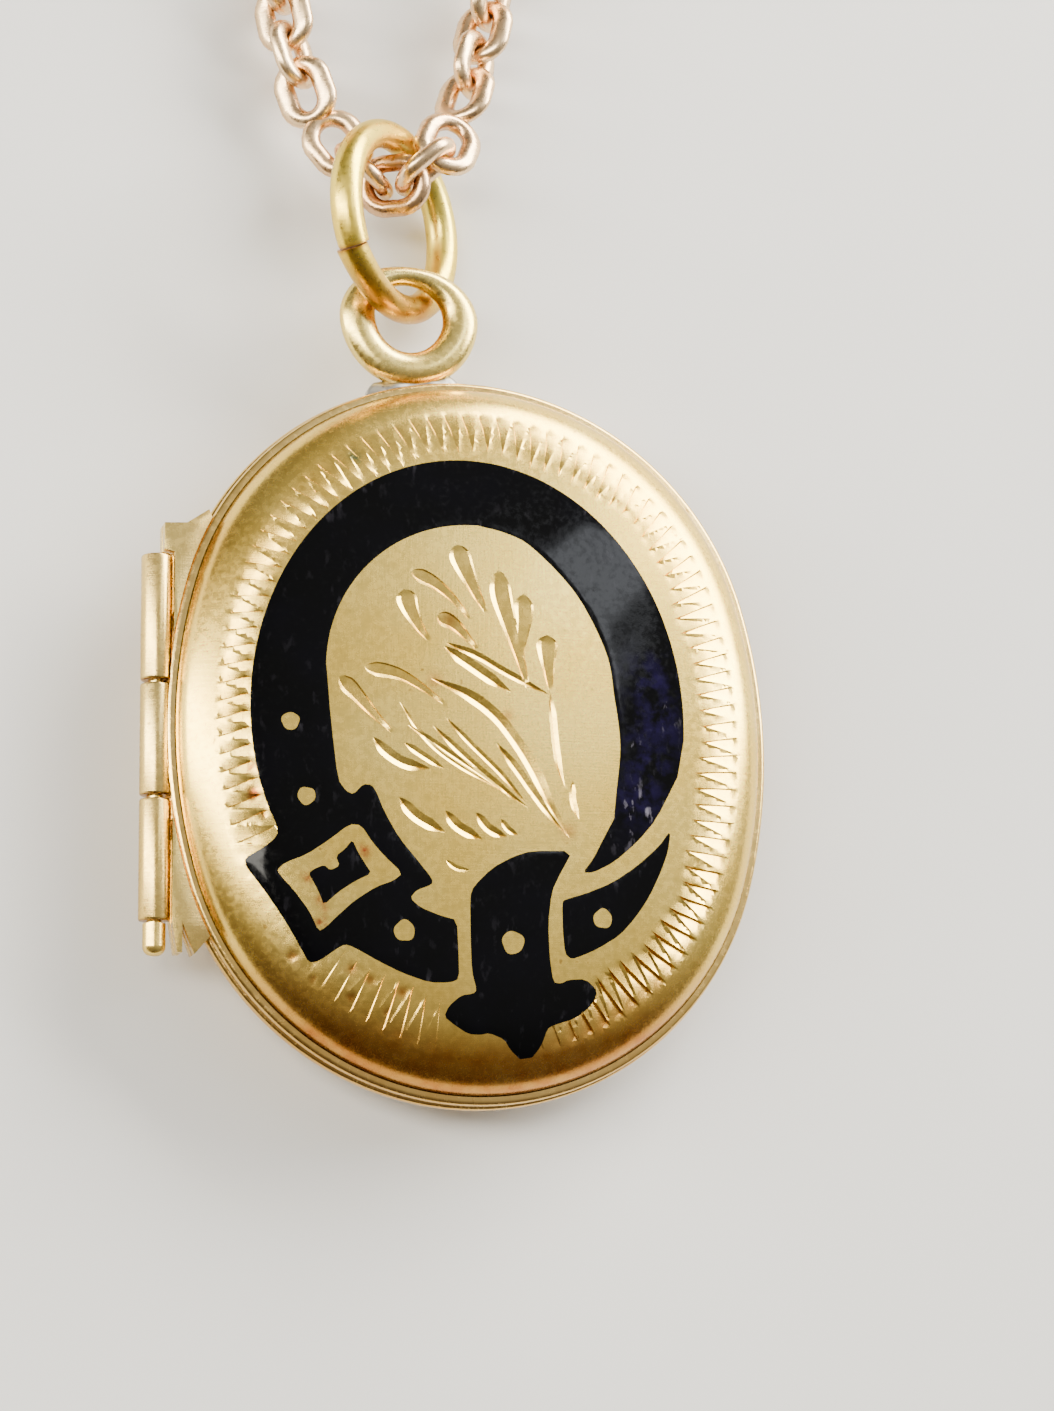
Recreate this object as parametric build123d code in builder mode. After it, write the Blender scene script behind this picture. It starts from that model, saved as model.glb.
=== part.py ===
"""Oval gold locket with an enamelled buckle strap on its lid, a bail, a jump ring and a cable chain.

The origin is the centre of the flat back.  +Z points out of the lid, +Y towards the bail, and the hinge
is on the -X side.  Sizes are millimetres.
"""
import math
import os

from build123d import *

os.makedirs("parts", exist_ok=True)

# ---------------------------------------------------------------- driving dimensions
half_width = 10.0            # of the case, at its widest line
half_length = 11.85
end_radius = 9.7             # the tight arcs at the top and the foot of the oval
seam_height = 2.50           # the back ends here
seam_gap = 0.03              # and the lid starts this much higher
shoulder_height = 3.90
face_height = 4.50
wall_inset = 0.28            # lid wall, inside the widest line
shoulder_round = 1.15
face_inset = 2.90
back_inset = 0.20
back_round = 1.70
back_floor = 0.45
sheet_thickness = 0.45       # of the lid under its face
enamel_depth = 0.22

hinge_x = -10.25
hinge_z = 2.50
barrel_radius = 0.50
barrel_clearance = 0.06
pin_radius = 0.22
running_gap = 0.03
knuckle_spans = {"knuckle_top": (1.40, 5.45), "knuckle_middle": (-2.27, 1.28), "knuckle_bottom": (-6.22, -2.39)}

bail_centre = (-1.86, 14.15, 2.20)
bail_radius = 1.76
bail_wide = 0.60             # half thickness across the loop
bail_thin = 0.40             # half thickness along the loop's axis

jump_centre = (-2.374, 17.397, 2.526)
jump_radius = 2.95
jump_wire = 0.48
jump_tilt = 43.0             # about Y: left side high, right side on the ground
jump_cut_angle = 212.0
jump_cut_width = 1.2         # degrees

link_wire = 0.30
link_half_straight = 0.225
link_half_width = 0.775
chain_diameter = 2 * (link_half_width + link_wire)
chain_height = chain_diameter / 2 + 0.02

coil_centre = (-2.0, 48.0)   # the right coil lies on the left one
coil_outer_turn = 13.2
coil_inner_turn = 7.05
coil_gap = 0.05
coil_approach = 35.0         # degrees below the coil's side where a chain joins its outer turn
coil_entry_gap = 7.7

side_radius = (half_width**2 + half_length**2 - 2 * half_length * end_radius) / (2 * (half_width - end_radius))
lid_base = seam_height + seam_gap


# ---------------------------------------------------------------- shared shapes
def oval(margin):
    """Four-centre oval, at a signed distance outside the widest line of the case."""
    rise = half_length - end_radius
    reach = side_radius - half_width
    joint = math.degrees(math.atan2(rise, reach))
    with BuildSketch(mode=Mode.PRIVATE) as outline:
        with BuildLine():
            CenterArc((-reach, 0), side_radius + margin, -joint, 2 * joint)
            CenterArc((0, rise), end_radius + margin, joint, 180 - 2 * joint)
            CenterArc((reach, 0), side_radius + margin, 180 - joint, 2 * joint)
            CenterArc((0, -rise), end_radius + margin, 180 + joint, 180 - 2 * joint)
        make_face()
    return outline.sketch


def oval_plate(margin, low, high):
    """Solid oval plate between two heights."""
    with BuildPart(mode=Mode.PRIVATE) as plate:
        with BuildSketch(Plane.XY.offset(low)):
            add(oval(margin))
        extrude(amount=high - low)
    return plate.part


def oval_band(outer, inner, low, high):
    """Upright oval band between two margins and two heights."""
    return oval_plate(outer, low, high) - oval_plate(inner, low, high)


def rod_y(radius, low, high):
    """Round bar along the hinge axis between two Y positions."""
    with BuildPart(mode=Mode.PRIVATE) as rod:
        with BuildSketch(Plane.XZ.offset(-high)):
            with Locations((hinge_x, hinge_z)):
                Circle(radius)
        extrude(amount=high - low)
    return rod.part


def hinge_relief(own):
    """Room that one half leaves round the barrel: close on its own knuckles, clear of the other half's."""
    relief = []
    for name, (low, high) in knuckle_spans.items():
        is_own = name in own
        radius = barrel_radius if is_own else barrel_radius + barrel_clearance
        spare = 0 if is_own else 0.06
        relief.append(rod_y(radius, low - spare, high + spare))
    return relief


def torus_arc(centre, x_dir, normal, radius, wire, start=0.0, sweep=360.0):
    """Round wire bent to an arc about a normal; the arc starts at an angle from x_dir."""
    ring_plane = Plane(origin=centre, x_dir=x_dir, z_dir=normal)
    start_direction = ring_plane.from_local_coords(
        Vector(math.cos(math.radians(start)), math.sin(math.radians(start)), 0)
    ) - Vector(*centre)
    section_plane = Plane(
        origin=Vector(*centre) + start_direction * radius,
        x_dir=start_direction,
        z_dir=start_direction.cross(Vector(*normal)),
    )
    with BuildPart(mode=Mode.PRIVATE) as wire_arc:
        with BuildSketch(section_plane):
            Circle(wire)
        revolve(axis=Axis(centre, normal), revolution_arc=sweep)
    return wire_arc.part


def save(part, name):
    """Label a finished piece and write its STEP file."""
    part.label = name
    export_step(part, f"parts/{name}.step")


case_knuckles = ("knuckle_top", "knuckle_bottom")
lid_knuckles = ("knuckle_middle",)

# ---------------------------------------------------------------- back half
with BuildPart() as back_cavity:
    with BuildSketch(Plane.XY.offset(back_floor)):
        add(oval(-0.80))
    extrude(amount=seam_height - back_floor)
    fillet(back_cavity.edges().group_by(Axis.Z)[0], 1.15)

with BuildPart() as back_shell:
    with BuildSketch():
        add(oval(-back_inset))
    extrude(amount=seam_height)
    fillet(back_shell.edges().group_by(Axis.Z)[0], back_round)
    add(back_cavity.part, mode=Mode.SUBTRACT)
    for relief in hinge_relief(case_knuckles):
        add(relief, mode=Mode.SUBTRACT)

with BuildPart() as back_bead:
    add(oval_band(0.10, -back_inset, 2.05, seam_height))
    fillet(back_bead.edges().filter_by(lambda edge: edge.length > 2 and abs(edge.center().X) > 9), 0.12)
    for relief in hinge_relief(case_knuckles):
        add(relief, mode=Mode.SUBTRACT)

with BuildPart() as catch_lip:
    add(oval_band(-0.80, -1.15, 1.60, 2.90))

# ---------------------------------------------------------------- lid
with BuildPart() as lid_cavity:
    with BuildSketch(Plane.XY.offset(lid_base)):
        add(oval(-0.75))
    extrude(amount=shoulder_height - sheet_thickness - lid_base)
    fillet(lid_cavity.edges().group_by(Axis.Z)[-1], 0.70)
    with BuildSketch(Plane.XY.offset(shoulder_height - sheet_thickness)):
        add(oval(-1.45))
    with BuildSketch(Plane.XY.offset(face_height - sheet_thickness)):
        add(oval(-face_inset - 0.05))
    loft(ruled=True)

with BuildPart() as lid_form:
    with BuildSketch(Plane.XY.offset(lid_base)):
        add(oval(-wall_inset))
    extrude(amount=shoulder_height - lid_base)
    fillet(lid_form.edges().group_by(Axis.Z)[-1], shoulder_round)
    with BuildSketch(Plane.XY.offset(shoulder_height)):
        add(oval(-wall_inset - shoulder_round))
    with BuildSketch(Plane.XY.offset(face_height)):
        add(oval(-face_inset))
    loft(ruled=True)

with BuildPart() as front_bead:
    add(oval_band(0.0, -wall_inset, lid_base, 2.95))
    for relief in hinge_relief(lid_knuckles):
        add(relief, mode=Mode.SUBTRACT)

# ---------------------------------------------------------------- enamel of the strap and buckle
strap_centre = (-0.50, 0.385)
strap_half_width = 7.117
strap_half_length = 8.34


def strap_edge(angle):
    """Point of the strap's outer edge at an angle of its ellipse."""
    turn = math.radians(angle)
    return (strap_centre[0] + strap_half_width * math.cos(turn), strap_centre[1] + strap_half_length * math.sin(turn))


strap_edge_start = 356.0
strap_edge_end = 197.0
strap_right_end = [(3.41, -4.60), (4.10, -4.25), (4.92, -3.56), (5.58, -2.81), (6.35, -1.40)]
strap_left_end = [(-7.03, -2.90), (-6.79, -3.37), (-6.76, -3.73), (-7.18, -4.10), (-7.75, -4.42), (-7.69, -4.71),
                  (-7.18, -5.35), (-6.46, -6.40), (-5.98, -7.21), (-5.74, -7.62), (-5.44, -7.58), (-4.90, -7.19),
                  (-4.66, -7.06), (-4.41, -7.12), (-3.57, -7.57), (-2.84, -7.91), (-1.98, -8.19), (-1.31, -8.18),
                  (-1.03, -8.06), (-1.05, -7.22), (-1.10, -6.23), (-1.59, -6.12), (-2.27, -5.87), (-2.60, -5.58),
                  (-2.39, -5.33), (-1.89, -5.14), (-1.89, -4.96), (-2.32, -4.43), (-2.93, -3.72), (-3.41, -2.89),
                  (-3.65, -2.29), (-3.81, -2.06), (-4.08, -2.04), (-4.39, -2.38), (-4.63, -2.27), (-4.88, -1.92),
                  (-5.10, 0.00), (-5.22, 1.58)]
strap_inner_left = (-3.81, 5.11)
strap_inner_curve = [(-0.24, 6.54), (1.59, 5.90), (3.01, 4.46), (3.98, 2.60), (4.24, 1.10), (4.40, -0.45)]
strap_inner_right = [(4.22, -2.09), (4.13, -2.86), (3.77, -3.49), (3.41, -4.17), (3.05, -4.62)]
buckle_frame = [(-6.76, -4.77), (-6.52, -4.56), (-5.86, -4.30), (-5.13, -3.80), (-4.52, -3.32), (-4.15, -3.34),
                (-3.79, -3.87), (-3.42, -4.28), (-2.84, -4.81), (-3.12, -5.05), (-3.67, -5.25), (-4.35, -5.69),
                (-4.89, -6.18), (-5.26, -6.55), (-5.47, -6.67), (-5.74, -6.08), (-6.22, -5.44), (-6.70, -4.92)]
buckle_window = [(-5.80, -4.89), (-5.62, -4.74), (-5.31, -4.61), (-5.13, -4.78), (-4.83, -4.63), (-4.95, -4.33),
                 (-4.64, -4.08), (-4.43, -3.80), (-4.25, -4.19), (-4.03, -4.54), (-3.82, -4.84), (-4.34, -5.09),
                 (-4.89, -5.46), (-5.32, -5.86), (-5.44, -5.54), (-5.62, -5.19)]
tail_outline = [(1.36, -3.98), (2.72, -3.94), (2.28, -4.70), (2.01, -5.25), (1.88, -6.24), (1.92, -7.33),
                (2.04, -8.11), (2.30, -8.14), (2.53, -8.02), (3.10, -7.98), (3.54, -8.33), (3.31, -8.82),
                (2.79, -9.10), (2.05, -9.20), (1.60, -9.30), (0.47, -9.30), (-0.70, -9.30), (-1.14, -9.20),
                (-1.35, -8.90), (-0.96, -8.57), (-0.57, -8.51), (-0.46, -8.40), (-0.62, -7.82), (-0.66, -6.85),
                (-0.67, -5.49), (-0.55, -5.16), (0.05, -4.57), (0.73, -4.19)]
stub_outline = [(2.35, -5.57), (2.46, -5.49), (3.15, -5.28), (4.02, -4.92), (4.90, -4.34), (5.68, -3.65),
                (6.07, -3.13), (5.97, -3.81), (5.71, -4.48), (5.28, -5.33), (4.80, -6.00), (4.27, -6.57),
                (3.52, -7.02), (3.00, -7.25), (2.65, -7.37), (2.43, -7.21), (2.36, -6.50)]
strap_dots = [((-6.37, -0.11), 0.28), ((-5.87, -2.46), 0.28), ((-2.78, -6.60), 0.33)]
tail_dots = [((0.72, -6.89), 0.36)]
stub_dots = [((3.70, -6.06), 0.31)]


def prism(sketch):
    """Upright prism through the whole lid over a flat plan."""
    with BuildPart(mode=Mode.PRIVATE) as column:
        add(sketch)
        extrude(amount=face_height + 1)
    return column.part


def plan(points, dots=()):
    """Flat plan with straight edges and round holes for the gold dots."""
    with BuildSketch(mode=Mode.PRIVATE) as outline:
        with BuildLine():
            Polyline(*points, close=True)
        make_face()
        for centre, radius in dots:
            with Locations(centre):
                Circle(radius, mode=Mode.SUBTRACT)
    return outline.sketch


with BuildSketch(mode=Mode.PRIVATE) as strap_plan:
    with BuildLine():
        edge_step = (strap_edge_end - strap_edge_start + 360) / 8
        edge_points = [strap_edge(strap_edge_start + edge_step * index) for index in range(9)]
        Spline(*edge_points)
        Polyline(edge_points[-1], *strap_left_end)
        ThreePointArc(strap_left_end[-1], strap_inner_left, strap_inner_curve[0])
        Spline(*strap_inner_curve)
        Polyline(strap_inner_curve[-1], *strap_inner_right, *strap_right_end, edge_points[0])
    make_face()
    add(plan(buckle_frame), mode=Mode.SUBTRACT)
    for centre, radius in strap_dots:
        with Locations(centre):
            Circle(radius, mode=Mode.SUBTRACT)

enamel_plans = {
    "enamel_strap": strap_plan.sketch,
    "enamel_buckle_window": plan(buckle_window),
    "enamel_tail": plan(tail_outline, tail_dots),
    "enamel_stub": plan(stub_outline, stub_dots),
}
sunk_form = Pos(0, 0, -enamel_depth) * lid_form.part
enamel = {}
for name, sketch in enamel_plans.items():
    enamel[name] = (prism(sketch) & lid_form.part) - sunk_form

with BuildPart() as front_shell:
    add(lid_form.part)
    add(lid_cavity.part, mode=Mode.SUBTRACT)
    for inlay in enamel.values():
        add(inlay, mode=Mode.SUBTRACT)
    for relief in hinge_relief(lid_knuckles):
        add(relief, mode=Mode.SUBTRACT)

# ---------------------------------------------------------------- hinge
knuckles = {}
for name, (low, high) in knuckle_spans.items():
    bore = pin_radius + running_gap if name in lid_knuckles else pin_radius
    knuckles[name] = rod_y(barrel_radius, low, high) - rod_y(bore, low, high)

pin_top = 5.45
pin_foot = -6.30
with BuildPart() as hinge_pin:
    add(rod_y(pin_radius, pin_foot, pin_top))
    add(rod_y(0.36, -7.30, pin_foot))
    fillet(hinge_pin.edges().group_by(Axis.Y)[0], 0.28)

leaf_top_tab = [(-9.76, 2.90), (-9.76, 5.52), (-10.08, 5.60), (-10.08, 6.46), (-9.37, 6.50), (-8.66, 6.98),
                (-8.40, 6.30), (-9.30, 2.90)]
leaf_foot_tab = [(-9.76, -3.00), (-9.76, -6.20), (-9.60, -7.21), (-9.44, -7.21), (-9.44, -6.27), (-9.06, -7.26),
                 (-8.59, -6.72), (-8.40, -6.00), (-9.30, -3.00)]


def leaf(low, high, bead_margin, own):
    """Hinge leaf: the web between the barrel and the bead, with its tabs."""
    web = extrude(Pos(0, 0, low) * (plan(leaf_top_tab) + plan(leaf_foot_tab)), amount=high - low)
    web = web - oval_plate(bead_margin, low, high)
    for relief in hinge_relief(own):
        web = web - relief
    web = web - rod_y(0.36 + barrel_clearance, -7.40, -6.24)
    return web


leaves = {
    "back_leaf": leaf(2.05, seam_height - seam_gap, 0.10, case_knuckles),
    "front_leaf": leaf(lid_base, 2.92, 0.0, lid_knuckles),
}

# ---------------------------------------------------------------- bail and jump ring
with BuildPart() as bail_loop:
    with BuildSketch(Plane(origin=bail_centre, x_dir=(1, 0, 0), z_dir=(0, -1, 0))):
        with Locations((bail_radius, 0)):
            Ellipse(bail_wide, bail_thin)
    revolve(axis=Axis(bail_centre, (0, 0, 1)))

solder_plan = [(-3.40, 11.30), (-3.20, 11.95), (-2.75, 12.20), (-0.95, 12.25), (-0.30, 12.10), (0.07, 11.40)]
with BuildPart() as bail_solder:
    with BuildSketch(Plane.XY.offset(1.70)):
        add(plan(solder_plan))
    extrude(amount=0.74)
    add(oval_plate(0.10, 1.5, 2.6), mode=Mode.SUBTRACT)
    add(bail_loop.part, mode=Mode.SUBTRACT)

tilt = math.radians(jump_tilt)
jump_normal = (math.sin(tilt), 0, math.cos(tilt))
jump_across = (math.cos(tilt), 0, -math.sin(tilt))
jump_ring = torus_arc(
    jump_centre, jump_across, jump_normal, jump_radius, jump_wire,
    jump_cut_angle + jump_cut_width / 2, 360 - jump_cut_width,
)

# ---------------------------------------------------------------- photo frames
with BuildPart() as back_card:
    add(oval_plate(-1.90, back_floor, 0.70))

with BuildPart() as back_cover:
    add(oval_plate(-1.50, 0.70, 0.98))
    fillet(back_cover.edges().group_by(Axis.Z)[-1], 0.12)

with BuildPart() as back_frame:
    add(oval_band(-1.20, -1.50, 1.00, 2.20))
    add(oval_band(-1.50, -2.10, 1.00, 1.30))

with BuildPart() as front_frame:
    add(oval_band(-1.40, -1.62, 2.60, 3.42))
    add(oval_band(-1.62, -2.40, 2.75, 2.93))

with BuildPart() as front_cover:
    add(oval_plate(-1.66, 2.95, 3.20))

with BuildPart() as front_card:
    add(oval_plate(-1.66, 3.20, 3.43))


# ---------------------------------------------------------------- chain
def link(centre, along, roll):
    """One oval chain link: a round wire round a slot, rolled about its own length."""
    along = Vector(*along).normalized()
    side = Vector(0, 0, 1).cross(along).normalized()
    up = along.cross(side)
    turn = math.radians(roll)
    across = side * math.cos(turn) + up * math.sin(turn)
    normal = along.cross(across)
    link_plane = Plane(origin=centre, x_dir=along, z_dir=normal)
    with BuildPart(mode=Mode.PRIVATE) as piece:
        with BuildLine(link_plane) as wire_line:
            top = Line((-link_half_straight, link_half_width), (link_half_straight, link_half_width))
            right = ThreePointArc(top @ 1, (link_half_straight + link_half_width, 0),
                                  (link_half_straight, -link_half_width))
            bottom = Line(right @ 1, (-link_half_straight, -link_half_width))
            ThreePointArc(bottom @ 1, (-link_half_straight - link_half_width, 0), top @ 0)
        with BuildSketch(Plane(origin=wire_line.line @ 0, x_dir=normal, z_dir=along)):
            Circle(link_wire)
        sweep(path=wire_line.line)
    return piece.part


# Each link's centre, the direction of its length, and its roll: under the ring's left wire, through, and over
# its right wire.
ring_links = [
    ((-4.05, 20.41, 1.41), (0.576, -0.800, 0.167), 7),
    ((-3.25, 19.39, 1.75), (0.616, -0.701, 0.359), 108),
    ((-2.37, 18.74, 2.35), (0.835, -0.040, 0.548), 9),
    ((-1.40, 19.32, 2.84), (0.738, 0.655, 0.164), 78),
    ((-0.57, 20.27, 2.67), (0.387, 0.861, -0.330), 179),
]
chain_ring_links = Compound(children=[link(*place) for place in ring_links])

upper_height = chain_height + chain_diameter + coil_gap


def coil_edge(side, height):
    """End of a run: on the tangent to its coil's outer turn, where it first meets the coil."""
    turn = math.radians(coil_approach)
    across = coil_outer_turn * math.cos(turn) - coil_entry_gap * math.sin(turn)
    below = coil_outer_turn * math.sin(turn) + coil_entry_gap * math.cos(turn)
    return (coil_centre[0] + side * across, coil_centre[1] - below, height)


chain_routes = {
    "chain_run_left": [(-4.90, 21.60, 1.25), (-5.95, 24.60, chain_height), (-6.10, 28.20, chain_height),
                       (-7.00, 31.60, chain_height), coil_edge(-1, chain_height)],
    "chain_run_right": [(0.05, 21.75, 2.05), (1.15, 24.90, 1.20), (1.70, 28.30, 1.85),
                        (3.30, 31.40, 3.05), coil_edge(1, upper_height)],
}


def bend_radii(route):
    """Radius of the arc at each inner point of a route: as large as its two runs allow."""
    radii = []
    for before, point, after in zip(route, route[1:], route[2:]):
        into = Vector(*point) - Vector(*before)
        out = Vector(*after) - Vector(*point)
        half_turn = math.radians(into.get_angle(out)) / 2
        radii.append(0.45 * min(into.length, out.length) / math.tan(half_turn))
    return radii


chain_runs = {}
for name, route in chain_routes.items():
    radii = bend_radii(route)
    with BuildPart(mode=Mode.PRIVATE) as run:
        with BuildLine() as run_line:
            FilletPolyline(*route, radius=radii)
        start = Vector(*route[0])
        with BuildSketch(Plane(origin=start, z_dir=Vector(*route[1]) - start)):
            Circle(chain_diameter / 2)
        sweep(path=run_line.line)
    chain_runs[name] = run.part
    section = math.pi * chain_diameter**2 / 4
    print(name, "bend radii", [round(radius, 1) for radius in radii])
    length = sum(edge.length for edge in run_line.edges())
    print(name, "length", round(length, 1), "volume ratio", round(run.part.volume / (section * length), 4))

chain_coils = {}
for name, height in {"chain_coil_left": chain_height, "chain_coil_right": upper_height}.items():
    with BuildPart(mode=Mode.PRIVATE) as coil:
        with BuildSketch(Plane.XY.offset(height - chain_diameter / 2)):
            with Locations(coil_centre):
                Circle(coil_outer_turn + chain_diameter / 2)
                Circle(coil_inner_turn - chain_diameter / 2, mode=Mode.SUBTRACT)
        extrude(amount=chain_diameter)
    chain_coils[name] = coil.part

# ---------------------------------------------------------------- bolt ring clasp and end ring
clasp_radius = 2.35
clasp_tube = 0.65
clasp_bore = 0.40
bolt_wire = 0.34
clasp_height = clasp_tube + 0.03
clasp_centre = (coil_centre[0] - 1.9, coil_centre[1] + 1.2, clasp_height)
mouth_start = 20.0
mouth_end = 75.0
bolt_travel = 45.0           # degrees that the bolt slides back into the body
lug_angle = 95.0
lug_wire = 0.17
slot_half_width = 0.22
tail_radius = 0.62
tail_wire = 0.22
tail_centre = (clasp_centre[0], clasp_centre[1] - 3.60, 0.86)
z_axis = (0, 0, 1)
x_axis = (1, 0, 0)


def polar(angle, radius):
    """Point of the clasp at an angle and a radius from its centre."""
    turn = math.radians(angle)
    return Vector(clasp_centre[0] + radius * math.cos(turn), clasp_centre[1] + radius * math.sin(turn), clasp_height)


def clasp_arc(wire, start, end):
    """Round arc of the clasp ring between two angles."""
    return torus_arc(clasp_centre, x_axis, z_axis, clasp_radius, wire, start, end - start)


def lug_slot(start, end):
    """Slot through the outer wall of the clasp's tube, swept about its centre."""
    outer = clasp_radius + clasp_tube + 0.2
    with BuildPart(mode=Mode.PRIVATE) as slot:
        with BuildSketch(Plane(origin=polar(start, 0), x_dir=polar(start, 1) - polar(start, 0),
                               z_dir=(polar(start, 1) - polar(start, 0)).cross(Vector(*z_axis)))):
            with Locations(((clasp_radius + outer) / 2, 0)):
                Rectangle(outer - clasp_radius, 2 * slot_half_width)
        revolve(axis=Axis(clasp_centre, z_axis), revolution_arc=end - start)
    return slot.part


with BuildPart() as clasp_body:
    add(clasp_arc(clasp_tube, mouth_end, mouth_start + 360))
    add(torus_arc(tail_centre, (0, 1, 0), x_axis, tail_radius, tail_wire))
    add(clasp_arc(clasp_bore, mouth_end - 1, mouth_end + 135), mode=Mode.SUBTRACT)
    add(clasp_arc(clasp_bore, mouth_start + 342, mouth_start + 361), mode=Mode.SUBTRACT)
    add(lug_slot(lug_angle - 8, lug_angle + bolt_travel + 8), mode=Mode.SUBTRACT)

with BuildPart() as clasp_bolt:
    add(clasp_arc(bolt_wire, mouth_start - 8, lug_angle + 12))
    lug_direction = polar(lug_angle, 1) - polar(lug_angle, 0)
    with BuildSketch(Plane(origin=polar(lug_angle, clasp_radius), z_dir=lug_direction)):
        Circle(lug_wire)
    extrude(amount=clasp_tube + 0.55)
    with BuildSketch(Plane(origin=polar(lug_angle, clasp_radius + clasp_tube + 0.30), z_dir=lug_direction)):
        Circle(0.32)
    extrude(amount=0.30)

spring_coils = 9
spring_start = lug_angle + 13.5
spring_pitch = 3.6
spring_turns = []
for index in range(spring_coils):
    angle = spring_start + spring_pitch * index
    spring_turns.append(torus_arc(tuple(polar(angle, clasp_radius)), tuple(z_axis), tuple(
        (polar(angle + 90, 1) - polar(angle + 90, 0))), 0.30, 0.055))
clasp_spring = Compound(children=spring_turns)

clasp_jump_ring = torus_arc(
    (tail_centre[0], tail_centre[1] - 1.15, tail_centre[2]), x_axis, z_axis, 1.15, 0.25, 272, 356,
)
chain_end_ring = torus_arc((coil_centre[0] + 3.7, coil_centre[1] - 0.6, 0.55), x_axis, z_axis, 1.45, 0.32)

for name, piece in {
    "back_shell": back_shell.part,
    "back_bead": back_bead.part,
    "catch_lip": catch_lip.part,
    "front_shell": front_shell.part,
    "front_bead": front_bead.part,
    "hinge_pin": hinge_pin.part,
    "bail_loop": bail_loop.part,
    "bail_solder": bail_solder.part,
    "jump_ring": jump_ring,
    "back_card": back_card.part,
    "back_cover": back_cover.part,
    "back_frame": back_frame.part,
    "front_frame": front_frame.part,
    "front_cover": front_cover.part,
    "front_card": front_card.part,
    "chain_ring_links": chain_ring_links,
    "clasp_body": clasp_body.part,
    "clasp_bolt": clasp_bolt.part,
    "clasp_spring": clasp_spring,
    "clasp_jump_ring": clasp_jump_ring,
    "chain_end_ring": chain_end_ring,
    **enamel,
    **knuckles,
    **leaves,
    **chain_runs,
    **chain_coils,
}.items():
    save(piece, name)
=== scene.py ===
import math

import bmesh
import bpy
import numpy as np
from mathutils import Matrix, Vector
from mathutils.geometry import delaunay_2d_cdt
from mathutils.kdtree import KDTree


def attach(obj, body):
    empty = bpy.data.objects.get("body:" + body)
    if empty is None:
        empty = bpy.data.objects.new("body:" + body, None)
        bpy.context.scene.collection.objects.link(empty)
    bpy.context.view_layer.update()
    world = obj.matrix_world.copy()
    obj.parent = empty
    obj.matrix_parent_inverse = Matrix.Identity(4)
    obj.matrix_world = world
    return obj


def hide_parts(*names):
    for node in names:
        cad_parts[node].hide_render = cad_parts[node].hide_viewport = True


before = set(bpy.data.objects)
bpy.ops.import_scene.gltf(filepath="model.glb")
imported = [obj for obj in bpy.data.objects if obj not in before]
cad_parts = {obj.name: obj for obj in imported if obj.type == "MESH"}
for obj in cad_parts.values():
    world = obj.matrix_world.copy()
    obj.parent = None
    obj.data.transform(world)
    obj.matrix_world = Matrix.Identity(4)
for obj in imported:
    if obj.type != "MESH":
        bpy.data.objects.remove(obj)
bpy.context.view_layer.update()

rng = np.random.default_rng(7)
MM = 0.001

# ---------------------------------------------------------------- sizes, in millimetres
half_width = 10.0
half_length = 11.85
end_radius = 9.7
narrowing = half_width - end_radius
side_radius = (half_width**2 + half_length**2 - 2 * half_length * end_radius) / (2 * narrowing)
rise = half_length - end_radius
reach = side_radius - half_width
seam = 2.50
lid_base = 2.53
hinge_x, hinge_z = -10.25, 2.50
barrel = 0.50
back_floor = 0.45
face_edge = 1.30  # inset of the ring where the swept rim meets the engraved face
enamel_depth = 0.22
enamel_dip = 0.012
around = 480  # points round the oval


# ---------------------------------------------------------------- mesh helpers
def make_object(name, vertices, faces, body, material, slot, *replaces):
    """Smooth mesh from millimetre points, riding on a body and standing for CAD nodes."""
    mesh = bpy.data.meshes.new(name)
    mesh.from_pydata([tuple(MM * float(c) for c in point) for point in vertices], [], faces)
    mesh.validate()
    mesh.update()
    mesh.shade_smooth()
    piece = bpy.data.objects.new(name, mesh)
    bpy.context.scene.collection.objects.link(piece)
    mesh.materials.append(material)
    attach(piece, body)
    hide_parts(*replaces)
    return piece


def keep_sharp(piece, angle):
    """Smooth shading with sharp edges above an angle."""
    piece.data.set_sharp_from_angle(angle=math.radians(angle))


def ring_faces(first, second, count):
    """Quads between two rings of points, from their first indices."""
    return [(first + k, first + (k + 1) % count, second + (k + 1) % count, second + k) for k in range(count)]


def grid_faces(rows, columns, closed, ends=False):
    """Quads over rows of points that each run round; closed joins last row to first, ends caps both."""
    faces = []
    for row in range(rows if closed else rows - 1):
        faces += ring_faces(row * columns, (row + 1) % rows * columns, columns)
    if ends:
        faces.append(tuple(range(columns))[::-1])
        faces.append(tuple((rows - 1) * columns + k for k in range(columns)))
    return faces


def shifted(faces, start):
    """Faces with their indices counted on from a start."""
    return [tuple(start + k for k in face) for face in faces]


def unit(value):
    """A value held between 0 and 1."""
    return np.clip(value, 0, 1)


def point_tree(points):
    """Search tree over XY points."""
    tree = KDTree(len(points))
    for index, point in enumerate(points):
        tree.insert((point[0], point[1], 0), index)
    tree.balance()
    return tree


def distances(points, tree):
    """Distance of each XY point to the nearest point of a tree."""
    return np.array([tree.find((point[0], point[1], 0))[2] for point in points])


def full_turn(count):
    """Angles all round, in radians."""
    return np.arange(count) * 2 * math.pi / count


def ellipse(centre, half_x, half_y, turn):
    """XY points at angles round an ellipse."""
    return np.c_[centre[0] + half_x * np.cos(turn), centre[1] + half_y * np.sin(turn)]


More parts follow.
